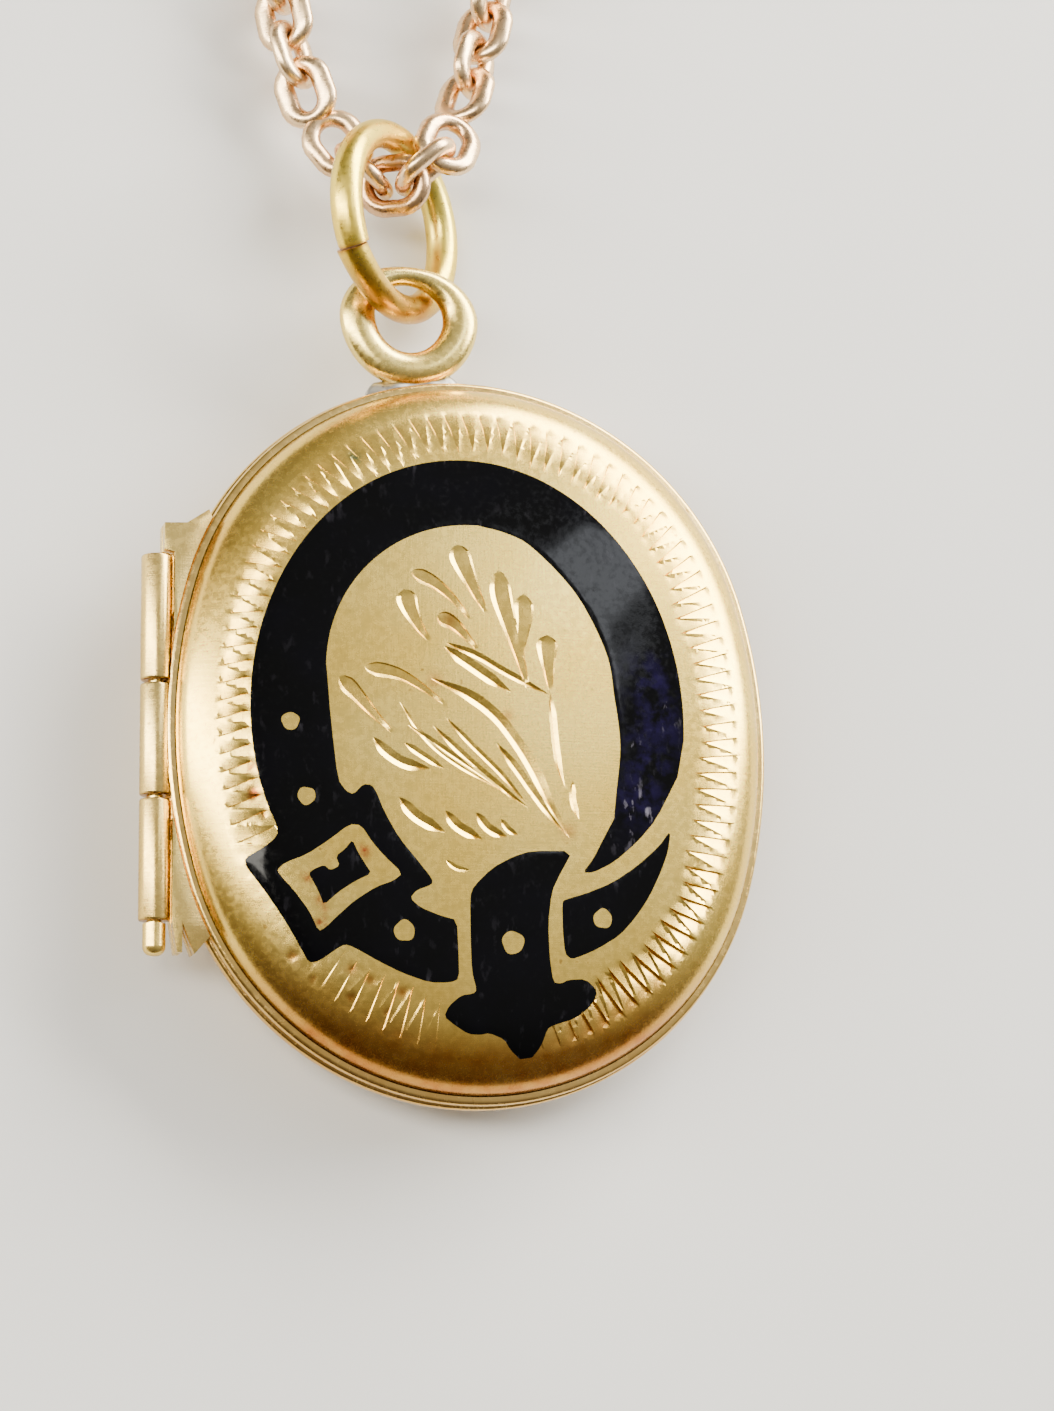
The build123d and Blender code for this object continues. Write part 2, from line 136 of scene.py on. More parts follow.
# ---------------------------------------------------------------- the oval
arc_turn = math.atan2(rise, reach)
side_sweep = 2 * arc_turn
end_sweep = math.pi - 2 * arc_turn
reference_inset = 2.0
arc_table = [  # centre, radius, first angle and sweep: right side, top, left side, bottom
    ((-reach, 0.0), side_radius, -arc_turn, side_sweep),
    ((0.0, rise), end_radius, arc_turn, end_sweep),
    ((reach, 0.0), side_radius, math.pi - arc_turn, side_sweep),
    ((0.0, -rise), end_radius, math.pi + arc_turn, end_sweep),
]
arc_lengths = [(radius - reference_inset) * sweep for _, radius, _, sweep in arc_table]
arc_starts = np.concatenate([[0.0], np.cumsum(arc_lengths)])
oval_length = float(arc_starts[-1])


def oval_points(along, inset):
    """XY points at a length along the oval (at the reference inset) and an inset from its widest line."""
    along = np.mod(np.atleast_1d(np.asarray(along, float)), oval_length)
    inset = np.broadcast_to(np.asarray(inset, float), along.shape)
    result = np.zeros((len(along), 2))
    which = np.clip(np.searchsorted(arc_starts, along, side="right") - 1, 0, 3)
    for index, (centre, radius, first, _) in enumerate(arc_table):
        here = which == index
        angle = first + (along[here] - arc_starts[index]) / (radius - reference_inset)
        distance = radius - inset[here]
        result[here, 0] = centre[0] + distance * np.cos(angle)
        result[here, 1] = centre[1] + distance * np.sin(angle)
    return result


def oval_coordinates(xy):
    """Length along the oval and inset from its widest line, for XY points."""
    xy = np.asarray(xy, float)
    along = np.zeros(len(xy))
    inset = np.zeros(len(xy))
    on_side = np.arctan2(np.abs(xy[:, 1]), reach + np.abs(xy[:, 0])) < arc_turn
    on_right, on_top = xy[:, 0] >= 0, xy[:, 1] >= 0
    on_arc = (on_side & on_right, ~on_side & on_top, on_side & ~on_right, ~on_side & ~on_top)
    for index, (here, (centre, radius, first, _)) in enumerate(zip(on_arc, arc_table)):
        offset = xy[here] - np.array(centre)
        angle = np.mod(np.arctan2(offset[:, 1], offset[:, 0]) - first + 1e-9, 2 * math.pi)
        along[here] = arc_starts[index] + angle * (radius - reference_inset)
        inset[here] = radius - np.hypot(offset[:, 0], offset[:, 1])
    return along, inset


def bezier(p0, p1, p2, p3):
    """Points along a cubic curve."""
    t = np.linspace(0, 1, 60)[:, None]
    p0, p1, p2, p3 = (np.array(p, float) for p in (p0, p1, p2, p3))
    return (1 - t)**3 * p0 + 3 * (1 - t)**2 * t * p1 + 3 * (1 - t) * t**2 * p2 + t**3 * p3


crown_curve = np.vstack([
    bezier((0.28, 2.72), (0.28, 3.52), (0.85, 3.98), (2.2, 4.28)),
    bezier((2.2, 4.28), (3.1, 4.48), (5.5, 4.58), (10.2, 4.60))[1:],
])


def crown(inset):
    """Height of the lid's outer skin at an inset."""
    return np.interp(inset, crown_curve[:, 0], crown_curve[:, 1])


knuckle_clearance = 0.06


def clear_of_barrel(vertices, own_spans, other_spans):
    """Push points out of the hinge barrel: onto their own knuckles, clear of the other half's."""
    for spans, radius, spare in ((own_spans, barrel + 0.004, 0.0),
                                 (other_spans, barrel + knuckle_clearance, knuckle_clearance)):
        for low, high in spans:
            inside = (vertices[:, 1] > low - spare) & (vertices[:, 1] < high + spare)
            dx = vertices[:, 0] - hinge_x
            dz = vertices[:, 2] - hinge_z
            distance = np.hypot(dx, dz)
            inside &= distance < radius
            keep_z = np.clip(np.abs(dz[inside]), 0, radius * 0.999)
            vertices[inside, 0] = hinge_x + np.sqrt(radius**2 - keep_z**2)
    return vertices


case_spans = [(1.40, 5.45), (-6.22, -2.39)]
lid_spans = [(-2.27, 1.28)]


def oval_ring(inset, height, count=around):
    """Points all round the oval at an inset and a height."""
    return np.c_[oval_points(np.arange(count) * oval_length / count, inset), np.full(count, height)]


def oval_sweep(profile, count=around, closed=True, spans=None):
    """Points and faces of a profile of (inset, height) carried round the oval."""
    vertices = np.vstack([oval_ring(inset, height, count) for inset, height in profile])
    if spans:
        vertices = clear_of_barrel(vertices, *spans)
    return vertices, grid_faces(len(profile), count, closed)


def oval_cap(start, count, vertices, insets, heights):
    """Concentric rings and a centre point that close an oval edge; returns all points and the new faces."""
    extra = [oval_ring(inset, height, count) for inset, height in zip(insets, heights)]
    faces = []
    for index in range(len(extra)):
        following = len(vertices) + index * count
        faces += ring_faces(start, following, count)
        start = following
    centre = start + count
    extra.append(np.array([[0.0, 0.0, heights[-1]]]))
    faces += [(start + column, start + (column + 1) % count, centre) for column in range(count)]
    return np.vstack([vertices] + extra), faces


# ---------------------------------------------------------------- materials
def principled(name, **values):
    """Material with its node tree, its shader and its object coordinates."""
    material = bpy.data.materials.new(name)
    material.use_nodes = True
    tree = material.node_tree
    shader = tree.nodes["Principled BSDF"]
    for key, value in values.items():
        shader.inputs[key.replace("_", " ")].default_value = value
    return material, tree, shader, tree.nodes.new("ShaderNodeTexCoord").outputs["Object"]


def noise_node(tree, coordinates, scale, detail, stretch=(1, 1, 1)):
    """Noise over coordinates, which may be stretched first."""
    mapping = tree.nodes.new("ShaderNodeMapping")
    mapping.inputs["Scale"].default_value = stretch
    tree.links.new(coordinates, mapping.inputs["Vector"])
    texture = tree.nodes.new("ShaderNodeTexNoise")
    texture.inputs["Scale"].default_value = scale
    texture.inputs["Detail"].default_value = detail
    texture.inputs["Roughness"].default_value = 0.55
    tree.links.new(mapping.outputs["Vector"], texture.inputs["Vector"])
    return texture.outputs["Fac"]


def ramp_node(tree, value, stops):
    """Colour ramp of (position, colour) stops."""
    ramp = tree.nodes.new("ShaderNodeValToRGB")
    elements = ramp.color_ramp.elements
    while len(elements) < len(stops):
        elements.new(0.5)
    for element, (position, colour) in zip(elements, stops):
        element.position = position
        element.color = (*colour, 1.0)
    tree.links.new(value, ramp.inputs["Fac"])
    return ramp.outputs["Color"]


def mix_colour(tree, factor, colour, second):
    """A colour turned into a second, plain one where the factor is 1."""
    mix = tree.nodes.new("ShaderNodeMix")
    mix.data_type = "RGBA"
    tree.links.new(factor, mix.inputs["Factor"])
    tree.links.new(colour, mix.inputs["A"])
    mix.inputs["B"].default_value = (*second, 1.0)
    return mix.outputs["Result"]


def map_range(tree, value, *limits):
    """A value carried from one range (low, high) to another."""
    node = tree.nodes.new("ShaderNodeMapRange")
    for key, limit in zip(("From Min", "From Max", "To Min", "To Max"), limits):
        node.inputs[key].default_value = limit
    tree.links.new(value, node.inputs["Value"])
    return node.outputs["Result"]


def math_node(tree, operation, first, second):
    """Sum or product of two values."""
    node = tree.nodes.new("ShaderNodeMath")
    node.operation = operation
    tree.links.new(first, node.inputs[0])
    tree.links.new(second, node.inputs[1])
    return node.outputs[0]


def add_bump(tree, shader, height, strength, distance, below=None):
    """Relief on a shader, laid over an earlier one when that is given."""
    bump = tree.nodes.new("ShaderNodeBump")
    bump.inputs["Strength"].default_value = strength
    bump.inputs["Distance"].default_value = distance
    tree.links.new(height, bump.inputs["Height"])
    if below is not None:
        tree.links.new(below, bump.inputs["Normal"])
    tree.links.new(bump.outputs["Normal"], shader.inputs["Normal"])
    return bump.outputs["Normal"]


def attribute_mix(tree, name, noise, colour, stain_and_shade):
    """Lay a second colour over a colour where the mesh attribute says so, broken up by noise: real marks,
    painted shade and painted reflections.
    """
    attribute_amount = tree.nodes.new("ShaderNodeAttribute")
    attribute_amount.attribute_name = name
    return mix_colour(tree, math_node(tree, "MULTIPLY", attribute_amount.outputs["Fac"], noise), colour, stain_and_shade)


def gold(name, pale, deep, tarnish_and_shade, rough=(0.20, 0.36), scratch=0.25, grain=0.10, spots=True, flecks=False):
    """Worn gold: two tones, a brown film where the mesh says so (real in hollows and pits, painted shade on
    some rims and the jump ring), fine scratches and small pits.
    """
    material, tree, shader, where = principled(name, Metallic=1.0)
    tone = ramp_node(tree, noise_node(tree, where, 260, 3), [(0.30, deep), (0.66, pale)])
    patina_and_shade_breakup = map_range(tree, noise_node(tree, where, 1500, 5), 0.35, 0.75, 0.72, 1.0)
    # Brown film: real in grooves, pits and stains; painted shade on the lower rim, the upper-left rim, the
    # bead wires' foot and the jump ring.
    colour = attribute_mix(tree, "patina_and_shade", patina_and_shade_breakup, tone, tarnish_and_shade)
    if flecks:
        broken = map_range(tree, noise_node(tree, where, 3800, 4), 0.40, 0.60, 0.2, 1.0)
        colour = attribute_mix(tree, "red_fleck", broken, colour, (0.42, 0.05, 0.02))
        colour = attribute_mix(tree, "green_fleck", broken, colour, (0.03, 0.14, 0.10))
    if spots:
        speck = map_range(tree, noise_node(tree, where, 2600, 2), 0.72, 0.78, 0.0, 0.55)
        colour = mix_colour(tree, speck, colour, tuple(0.45 * c for c in tarnish_and_shade))
    tree.links.new(colour, shader.inputs["Base Color"])
    fine = noise_node(tree, where, 5200, 6)
    tree.links.new(map_range(tree, fine, 0.3, 0.7, *rough), shader.inputs["Roughness"])
    lines = noise_node(tree, where, 2200, 3, (0.35, 9.0, 1.0))
    cross = noise_node(tree, where, 2000, 3, (8.0, 0.5, 1.0))
    scratches = add_bump(tree, shader, math_node(tree, "ADD", lines, cross), scratch, 0.00001)
    add_bump(tree, shader, fine, grain, 0.00002, scratches)
    return material


brown = (0.44, 0.145, 0.022)
lid_gold = gold("lid_gold", (0.94, 0.67, 0.155), (0.87, 0.57, 0.095), brown,
                rough=(0.22, 0.31), scratch=0.16, grain=0.025, flecks=True)
back_gold = gold("back_gold", (0.90, 0.65, 0.22), (0.78, 0.52, 0.13), brown, scratch=0.35, grain=0.05)
bead_gold = gold("bead_gold", (0.92, 0.66, 0.22), (0.82, 0.53, 0.13), brown, rough=(0.16, 0.30), grain=0.04)
hinge_gold = gold("hinge_gold", (0.94, 0.70, 0.22), (0.88, 0.61, 0.15), (0.30, 0.14, 0.05),
                  rough=(0.22, 0.32), grain=0.05)
ring_gold = gold("ring_gold", (0.94, 0.73, 0.12), (0.88, 0.61, 0.07), (0.44, 0.18, 0.02),
                 rough=(0.24, 0.38), grain=0.05)
chain_gold = gold("chain_gold", (0.93, 0.67, 0.38), (0.87, 0.57, 0.30), (0.40, 0.18, 0.08),
                  rough=(0.22, 0.36))
bail_gold = gold("bail_gold", (0.94, 0.73, 0.22), (0.88, 0.63, 0.15), (0.40, 0.22, 0.08),
                 rough=(0.20, 0.34), grain=0.05)
inside_gold = gold("inside_gold", (0.92, 0.70, 0.25), (0.86, 0.62, 0.19), brown,
                   rough=(0.14, 0.26), scratch=0.12)
solder_grey = gold("solder_grey", (0.50, 0.48, 0.43), (0.18, 0.17, 0.15), (0.10, 0.09, 0.07),
                   rough=(0.24, 0.5))
spring_steel = gold("spring_steel", (0.66, 0.66, 0.66), (0.5, 0.5, 0.5), (0.2, 0.2, 0.2), spots=False)


def enamel_material():
    """Near-black vitreous enamel: painted blue-purple sheen and painted grey reflection down its right side,
    a little grey along its edges, dust and hairlines.
    """
    material, tree, shader, where = principled("enamel", Specular_IOR_Level=0.08, Coat_Weight=0.22,
                                               Coat_Roughness=0.08, Coat_IOR=1.4)
    cloud = noise_node(tree, where, 420, 4)
    colour = ramp_node(tree, cloud, [(0.40, (0.0004, 0.0004, 0.0005)), (0.80, (0.0009, 0.0008, 0.002))])
    mottle = map_range(tree, noise_node(tree, where, 1700, 5), 0.42, 0.62, 0.0, 1.0)
    # Painted sheen: a blue-purple reflection down the strap's right side.
    colour = attribute_mix(tree, "painted_violet_sheen", mottle, colour, (0.006, 0.0035, 0.024))
    streaks = map_range(tree, noise_node(tree, where, 3300, 4, (1.0, 0.45, 1.0)), 0.60, 0.70, 0.0, 1.0)
    # Grey: a little all over, more along the edges, and a painted grey reflection down the right side.
    colour = attribute_mix(tree, "scuffs_and_painted_reflection", streaks, colour, (0.16, 0.15, 0.19))
    tree.links.new(colour, shader.inputs["Base Color"])
    dust = noise_node(tree, where, 5200, 6)
    tree.links.new(map_range(tree, dust, 0.45, 0.75, 0.06, 0.30), shader.inputs["Roughness"])
    swell = add_bump(tree, shader, noise_node(tree, where, 900, 3), 0.10, 0.00003)
    add_bump(tree, shader, dust, 0.05, 0.00001, swell)
    return material


def card_material():
    """Foxed photo card with faint fibres."""
    material, tree, shader, where = principled("aged_card", Roughness=0.85)
    tone = ramp_node(tree, noise_node(tree, where, 220, 5), [
        (0.32, (0.56, 0.40, 0.22)), (0.52, (0.76, 0.61, 0.38)), (0.7, (0.82, 0.70, 0.48))])
    speck = map_range(tree, noise_node(tree, where, 1500, 3), 0.68, 0.76, 0.0, 0.6)
    tree.links.new(mix_colour(tree, speck, tone, (0.40, 0.24, 0.12)), shader.inputs["Base Color"])
    add_bump(tree, shader, noise_node(tree, where, 4200, 6, (1.0, 4.0, 1.0)), 0.4, 0.00002)
    return material


def cover_material():
    """Thin clear plastic, slightly yellowed and hazed."""
    material, tree, shader, where = principled("clear_cover", IOR=1.49, Alpha=0.20,
                                               Base_Color=(0.86, 0.80, 0.66, 1))
    haze = noise_node(tree, where, 900, 5)
    tree.links.new(map_range(tree, haze, 0.4, 0.8, 0.03, 0.16), shader.inputs["Roughness"])
    add_bump(tree, shader, haze, 0.10, 0.00001)
    return material


enamel = enamel_material()
aged_card = card_material()
clear_cover = cover_material()


def set_wear_and_shade(piece, values, name="patina_and_shade"):
    """Value of each point, 0 to 1, for a material to read: real marks, painted shade and painted
    reflections.
    """
    attribute = piece.data.attributes.new(name, "FLOAT", "POINT")
    attribute.data.foreach_set("value", unit(np.asarray(values, np.float32)))


def spots_at(xy, places):
    """Round soft spots: 1 at each place, falling off over its radius."""
    value = np.zeros(len(xy))
    for x, y, radius in places:
        value = np.maximum(value, np.exp(-((xy[:, 0] - x)**2 + (xy[:, 1] - y)**2) / radius**2))
    return value


# ---------------------------------------------------------------- enamel outlines
# The strap's outer edge is part of an ellipse, between two angles in degrees.
strap_centre = (-0.50, 0.385)
strap_half_width = 7.117
strap_half_length = 8.34
strap_edge_start = 356.0
strap_edge_end = 557.0
strap_right_end = [(3.41, -4.60), (4.10, -4.25), (4.92, -3.56), (5.58, -2.81), (6.35, -1.40)]
strap_left_end = [
    (-7.03, -2.90), (-6.79, -3.37), (-6.76, -3.73), (-7.18, -4.10), (-7.75, -4.42), (-7.69, -4.71),
    (-7.18, -5.35), (-6.46, -6.40), (-5.98, -7.21), (-5.74, -7.62), (-5.44, -7.58), (-4.90, -7.19),
    (-4.66, -7.06), (-4.41, -7.12), (-3.57, -7.57), (-2.84, -7.91), (-1.98, -8.19), (-1.31, -8.18),
    (-1.03, -8.06), (-1.05, -7.22), (-1.10, -6.23), (-1.59, -6.12), (-2.27, -5.87), (-2.60, -5.58),
    (-2.39, -5.33), (-1.89, -5.14), (-1.89, -4.96), (-2.32, -4.43), (-2.93, -3.72), (-3.41, -2.89),
    (-3.65, -2.29), (-3.81, -2.06), (-4.08, -2.04), (-4.39, -2.38), (-4.63, -2.27), (-4.88, -1.92),
    (-5.10, 0.00), (-5.22, 1.58),
]
strap_inner_curve = [
    (-0.24, 6.54), (0.70, 6.34), (1.59, 5.90), (3.01, 4.46), (3.98, 2.60), (4.24, 1.10), (4.40, -0.45),
    (4.22, -2.09), (4.13, -2.86),
]
strap_inner_right = [(3.77, -3.49), (3.41, -4.17), (3.05, -4.62)]
inner_centre = (-0.36, 1.66)  # of the arc that starts the strap's inner edge at the upper left
inner_radius = 4.88
buckle_frame = [
    (-6.76, -4.77), (-6.52, -4.56), (-5.86, -4.30), (-5.13, -3.80), (-4.52, -3.32), (-4.15, -3.34),
    (-3.79, -3.87), (-3.42, -4.28), (-2.84, -4.81), (-3.12, -5.05), (-3.67, -5.25), (-4.35, -5.69),
    (-4.89, -6.18), (-5.26, -6.55), (-5.47, -6.67), (-5.74, -6.08), (-6.22, -5.44), (-6.70, -4.92),
]
buckle_window = [
    (-5.80, -4.89), (-5.62, -4.74), (-5.31, -4.61), (-5.13, -4.78), (-4.83, -4.63), (-4.95, -4.33),
    (-4.64, -4.08), (-4.43, -3.80), (-4.25, -4.19), (-4.03, -4.54), (-3.82, -4.84), (-4.34, -5.09),
    (-4.89, -5.46), (-5.32, -5.86), (-5.44, -5.54), (-5.62, -5.19),
]
tail_outline = [
    (1.36, -3.98), (2.72, -3.94), (2.28, -4.70), (2.01, -5.25), (1.88, -6.24), (1.92, -7.33), (2.04, -8.11),
    (2.30, -8.14), (2.53, -8.02), (3.10, -7.98), (3.54, -8.33), (3.31, -8.82), (2.79, -9.21), (2.05, -9.44),
    (1.88, -9.55), (1.70, -10.09), (1.35, -10.55), (1.07, -10.52), (0.69, -10.21), (0.47, -9.89),
    (-0.03, -9.71), (-0.31, -9.77), (-0.70, -9.75), (-1.14, -9.49), (-1.49, -9.23), (-1.35, -8.90),
    (-0.96, -8.57), (-0.57, -8.51), (-0.46, -8.40), (-0.62, -7.82), (-0.66, -6.85), (-0.67, -5.49),
    (-0.55, -5.16), (0.05, -4.57), (0.73, -4.19),
]
stub_outline = [
    (2.35, -5.57), (2.46, -5.49), (3.15, -5.28), (4.02, -4.92), (4.90, -4.34), (5.68, -3.65), (6.07, -3.13),
    (5.97, -3.81), (5.71, -4.48), (5.28, -5.33), (4.80, -6.00), (4.27, -6.57), (3.52, -7.02), (3.00, -7.25),
    (2.65, -7.37), (2.43, -7.21), (2.36, -6.50),
]
strap_dots = [((-6.37, -0.11), 0.28), ((-5.87, -2.46), 0.28), ((-2.78, -6.60), 0.33)]
tail_dots = [((0.72, -6.89), 0.36)]
stub_dots = [((3.70, -6.06), 0.31)]


def softened(points, closed=True):
    """Corner cutting once, so that hand-cut corners are slightly round."""
    points = np.asarray(points, float)
    following = np.roll(points, -1, axis=0)
    result = np.empty((2 * len(points), 2))
    result[0::2] = points * 0.8 + following * 0.2
    result[1::2] = points * 0.2 + following * 0.8
    return result if closed else np.vstack([points[:1], result[:-2], points[-1:]])


outline_step = 0.11


def resampled(points):
    """The same closed line with points at most a step apart."""
    result = []
    for first, second in zip(points, np.roll(points, -1, axis=0)):
        pieces = max(1, int(math.ceil(np.hypot(*(second - first)) / outline_step)))
        for part in range(pieces):
            result.append(first + (second - first) * part / pieces)
    return np.array(result)


def smooth_line(points):
    """Smooth curve through a few points."""
    points = np.asarray(points, float)
    padded = np.vstack([2 * points[0] - points[1], points, 2 * points[-1] - points[-2]])
    result = []
    for index in range(1, len(padded) - 2):
        p0, p1, p2, p3 = padded[index - 1:index + 3]
        pieces = max(2, int(np.hypot(*(p2 - p1)) / 0.10))
        for part in range(pieces):
            t = part / pieces
            result.append(0.5 * (2 * p1 + (p2 - p0) * t + (2 * p0 - 5 * p1 + 4 * p2 - p3) * t * t
                                 + (3 * p1 - p0 - 3 * p2 + p3) * t**3))
    result.append(points[-1])
    return np.array(result)


def circle_outline(centre, radius):
    """Eyelet: a circle that is not quite round."""
    turn = full_turn(28)
    wobble = 1 + 0.05 * np.sin(3 * turn + centre[0]) + 0.03 * np.sin(5 * turn + centre[1])
    return ellipse(centre, radius * wobble, radius * wobble, turn)


def strap_outline():
    """Outer edge, left end with the buckle's corner, inner edge and right end."""
    turn = np.radians(np.linspace(strap_edge_start, strap_edge_end, 150)) - 2 * math.pi
    outer = ellipse(strap_centre, strap_half_width, strap_half_length, turn)
    (first_x, first_y), (last_x, last_y) = (np.subtract(point, inner_centre)
                                            for point in (strap_left_end[-1], strap_inner_curve[0]))
    turn = np.linspace(math.atan2(first_y, first_x) % (2 * math.pi), math.atan2(last_y, last_x), 50)[1:-1]
    inner = ellipse(inner_centre, inner_radius, inner_radius, turn)
    left = softened(strap_left_end, closed=False)
    right = softened(strap_inner_right + strap_right_end, closed=False)
    return np.vstack([outer, left, inner, smooth_line(strap_inner_curve), right])


# Each cell: its outer line, then the lines of its holes.
cells = {
    "enamel_strap": [strap_outline(), softened(buckle_frame)] + [circle_outline(*dot) for dot in strap_dots],
    "enamel_buckle_window": [softened(buckle_window)],
    "enamel_tail": [softened(tail_outline)] + [circle_outline(*dot) for dot in tail_dots],
    "enamel_stub": [softened(stub_outline)] + [circle_outline(*dot) for dot in stub_dots],
}
cells = {name: [resampled(line) for line in lines] for name, lines in cells.items()}


def inside_polygon(points, polygon):
    """Even-odd test of many points against one closed line."""
    inside = np.zeros(len(points), bool)
    near = ((points >= polygon.min(0)) & (points <= polygon.max(0))).all(1)
    px, py = points[near].T
    result = np.zeros(len(px), bool)
    for first, second in zip(polygon, np.roll(polygon, -1, axis=0)):
        crosses = (first[1] > py) != (second[1] > py)
        if not crosses.any():
            continue
        at = (second[0] - first[0]) * (py - first[1]) / (second[1] - first[1] + 1e-12) + first[0]
        result ^= crosses & (px < at)
    inside[near] = result
    return inside


def inside_cell(points, lines):
    """True for points inside a cell's outer line and outside its holes."""
    return np.logical_xor.reduce([inside_polygon(points, line) for line in lines])


# ---------------------------------------------------------------- engraving
# Each cut: its points from the tip, its half width and its depth.
leaves = [
    ([(-0.99, 5.86), (-0.74, 5.17), (-0.37, 4.36), (-0.03, 3.70)], 0.36, 0.075),
    ([(0.42, 5.08), (0.49, 4.26), (0.73, 3.37), (1.07, 2.26), (1.33, 1.26)], 0.36, 0.075),
    ([(1.23, 4.34), (1.22, 3.55), (1.10, 2.56), (1.19, 1.85)], 0.33, 0.065),
    ([(2.00, 3.04), (2.00, 2.30), (2.08, 1.25)], 0.36, 0.070),
    ([(-2.47, 4.90), (-1.70, 4.55), (-1.10, 4.06), (-0.58, 3.45)], 0.24, 0.075),
    ([(-2.70, 4.30), (-2.55, 3.71), (-2.21, 3.06), (-1.93, 2.70)], 0.34, 0.065),
    ([(-1.65, 3.48), (-1.04, 3.20), (-0.35, 2.48)], 0.26, 0.080),
    ([(-4.82, 1.37), (-4.30, 0.85), (-3.75, 0.25), (-3.15, -0.34)], 0.27, 0.080),
    ([(-4.01, 1.70), (-3.00, 1.55), (-2.26, 1.20), (-1.44, 0.64)], 0.24, 0.065),
]
stems = [
    ([(-1.42, 2.49), (-0.67, 2.00), (0.08, 1.52), (0.77, 1.10)], 0.20, 0.080),
    ([(-1.38, 2.62), (-0.37, 2.26), (0.54, 1.78), (1.30, 1.42), (2.06, 1.07)], 0.13, 0.060),
    ([(-1.88, 1.44), (-0.69, 0.97), (0.21, 0.35), (0.88, -0.44), (1.48, -1.38), (2.06, -2.54),
      (2.62, -3.52)], 0.21, 0.085),
    ([(0.24, -0.55), (0.87, -1.32), (1.46, -2.12), (2.06, -2.87), (2.58, -3.47)], 0.15, 0.065),
    ([(-2.90, 0.65), (-2.20, -0.35), (-1.31, -1.13), (0.40, -2.09)], 0.09, 0.035),
    ([(-2.65, -0.08), (-1.46, -0.84), (-0.27, -1.60), (0.70, -2.30)], 0.11, 0.045),
    ([(-1.83, -0.08), (-0.71, -1.10), (0.33, -1.94), (1.26, -2.61)], 0.12, 0.050),
    ([(-1.41, 0.20), (-0.56, -0.65), (0.41, -1.57), (1.23, -2.50)], 0.10, 0.045),
    ([(-2.76, -0.67), (-2.21, -1.02), (-1.47, -1.46)], 0.12, 0.045),
    ([(-3.76, -0.53), (-3.32, -0.99), (-2.73, -1.33), (-1.91, -1.48)], 0.19, 0.075),
    ([(2.07, 1.15), (2.14, 0.43), (2.22, -0.53), (2.32, -1.20), (2.50, -1.90)], 0.125, 0.065),
    ([(2.78, -1.70), (2.76, -2.30), (2.95, -2.92)], 0.11, 0.050),
    ([(-2.93, -2.42), (-2.38, -3.00), (-1.45, -3.49)], 0.20, 0.080),
    ([(-1.44, -2.80), (-1.04, -3.28), (-0.26, -3.67)], 0.18, 0.075),
    ([(-0.44, -2.82), (-0.03, -3.32), (0.57, -3.57)], 0.16, 0.070),
    ([(0.37, -3.01), (0.61, -3.33), (0.91, -3.48)], 0.11, 0.050),
    ([(-1.45, -4.36), (-1.10, -4.60), (-0.66, -4.66)], 0.09, 0.028),
]


def stem_swelling(share):
    """Width of a graver's cut along its length: fine at both ends."""
    return unit(np.minimum((share / 0.22)**0.7, ((1 - share) / 0.30)**0.8))


def leaf_swelling(share):
    """Width of a leaf along its length: a round tip that narrows to the stem."""
    return unit(np.sqrt(share / 0.14)) * (1 - 0.80 * unit((share - 0.22) / 0.78))


class Stroke:
    """One cut with a steep side toward the lower left: a plain groove, or a hollow leaf."""

    def __init__(self, points, half, depth, leaf):
        self.line = smooth_line(points)
        at = np.concatenate([[0], np.cumsum(np.hypot(*np.diff(self.line, axis=0).T))])
        share = at / at[-1]
        self.half = half * np.maximum(leaf_swelling(share) if leaf else stem_swelling(share), 0.05)
        self.depth = depth * unit(np.minimum(share / 0.10, (1 - share) / 0.15))
        along = np.gradient(self.line, axis=0)
        along /= np.hypot(*along.T)[:, None]
        self.normal = np.c_[-along[:, 1], along[:, 0]]
        self.corners = [-1.0, -0.50, 0.82, 1.0] if leaf else [-1.0, -0.10, 1.0]
        self.corner_depths = [0.0, 1.0, 0.55, 0.0] if leaf else [0.0, 1.0, 0.0]

    def edge_lines(self):
        return [self.line + self.normal * (self.half * corner)[:, None] for corner in self.corners]

    def cut(self, xy, depth):
        """Deepen the depths at XY points by this cut."""
        near = np.where(((xy > self.line.min(0) - 0.5) & (xy < self.line.max(0) + 0.5)).all(1))[0]
        points = xy[near]
        best = np.full(len(points), 9.0)
        offset, half, deep = np.zeros(len(points)), np.ones(len(points)), np.zeros(len(points))
        for index in range(len(self.line) - 1):
            first, second = self.line[index], self.line[index + 1]
            step = second - first
            t = np.clip((points - first) @ step / (step @ step), 0, 1)
            gap = points - (first + t[:, None] * step)
            distance = np.hypot(gap[:, 0], gap[:, 1])
            closer = distance < best
            normal = np.array([-step[1], step[0]]) / np.hypot(*step)
            best[closer] = distance[closer]
            offset[closer] = np.sign((gap @ normal)[closer]) * distance[closer]
            for values, ends in ((half, self.half), (deep, self.depth)):
                values[closer] = (ends[index] + (ends[index + 1] - ends[index]) * t)[closer]
        section = np.interp(offset / half, self.corners, self.corner_depths, left=0, right=0)
        depth[near] = np.maximum(depth[near], section * deep)
        return depth


border_count = 104
border_pitch = oval_length / border_count
border_outer = 1.42
border_inner = border_outer + 1.25 + 0.20
border_flank = 0.10  # share of a facet that its steep step takes


def before_start(along):
    """The last stretch of the oval counted as lengths below 0."""
    return np.where(along > 0.85 * oval_length, along - oval_length, along)


def border_reach(along):
    """Inner end of the border's cuts: at the enamel along the strap, shorter below it."""
    turn = np.radians(np.linspace(-10, 205, 200))
    edge = ellipse(strap_centre, strap_half_width, strap_half_length, turn)
    edge_along, edge_inset = oval_coordinates(edge)
    along = before_start(along)
    strap_inset = np.interp(along, before_start(edge_along), edge_inset, left=9.0, right=9.0)
    ragged = 0.10 * np.sin(along * 0.9) + 0.08 * np.sin(along * 2.3 + 1)
    return np.minimum(strap_inset - 0.02, border_inner + ragged)


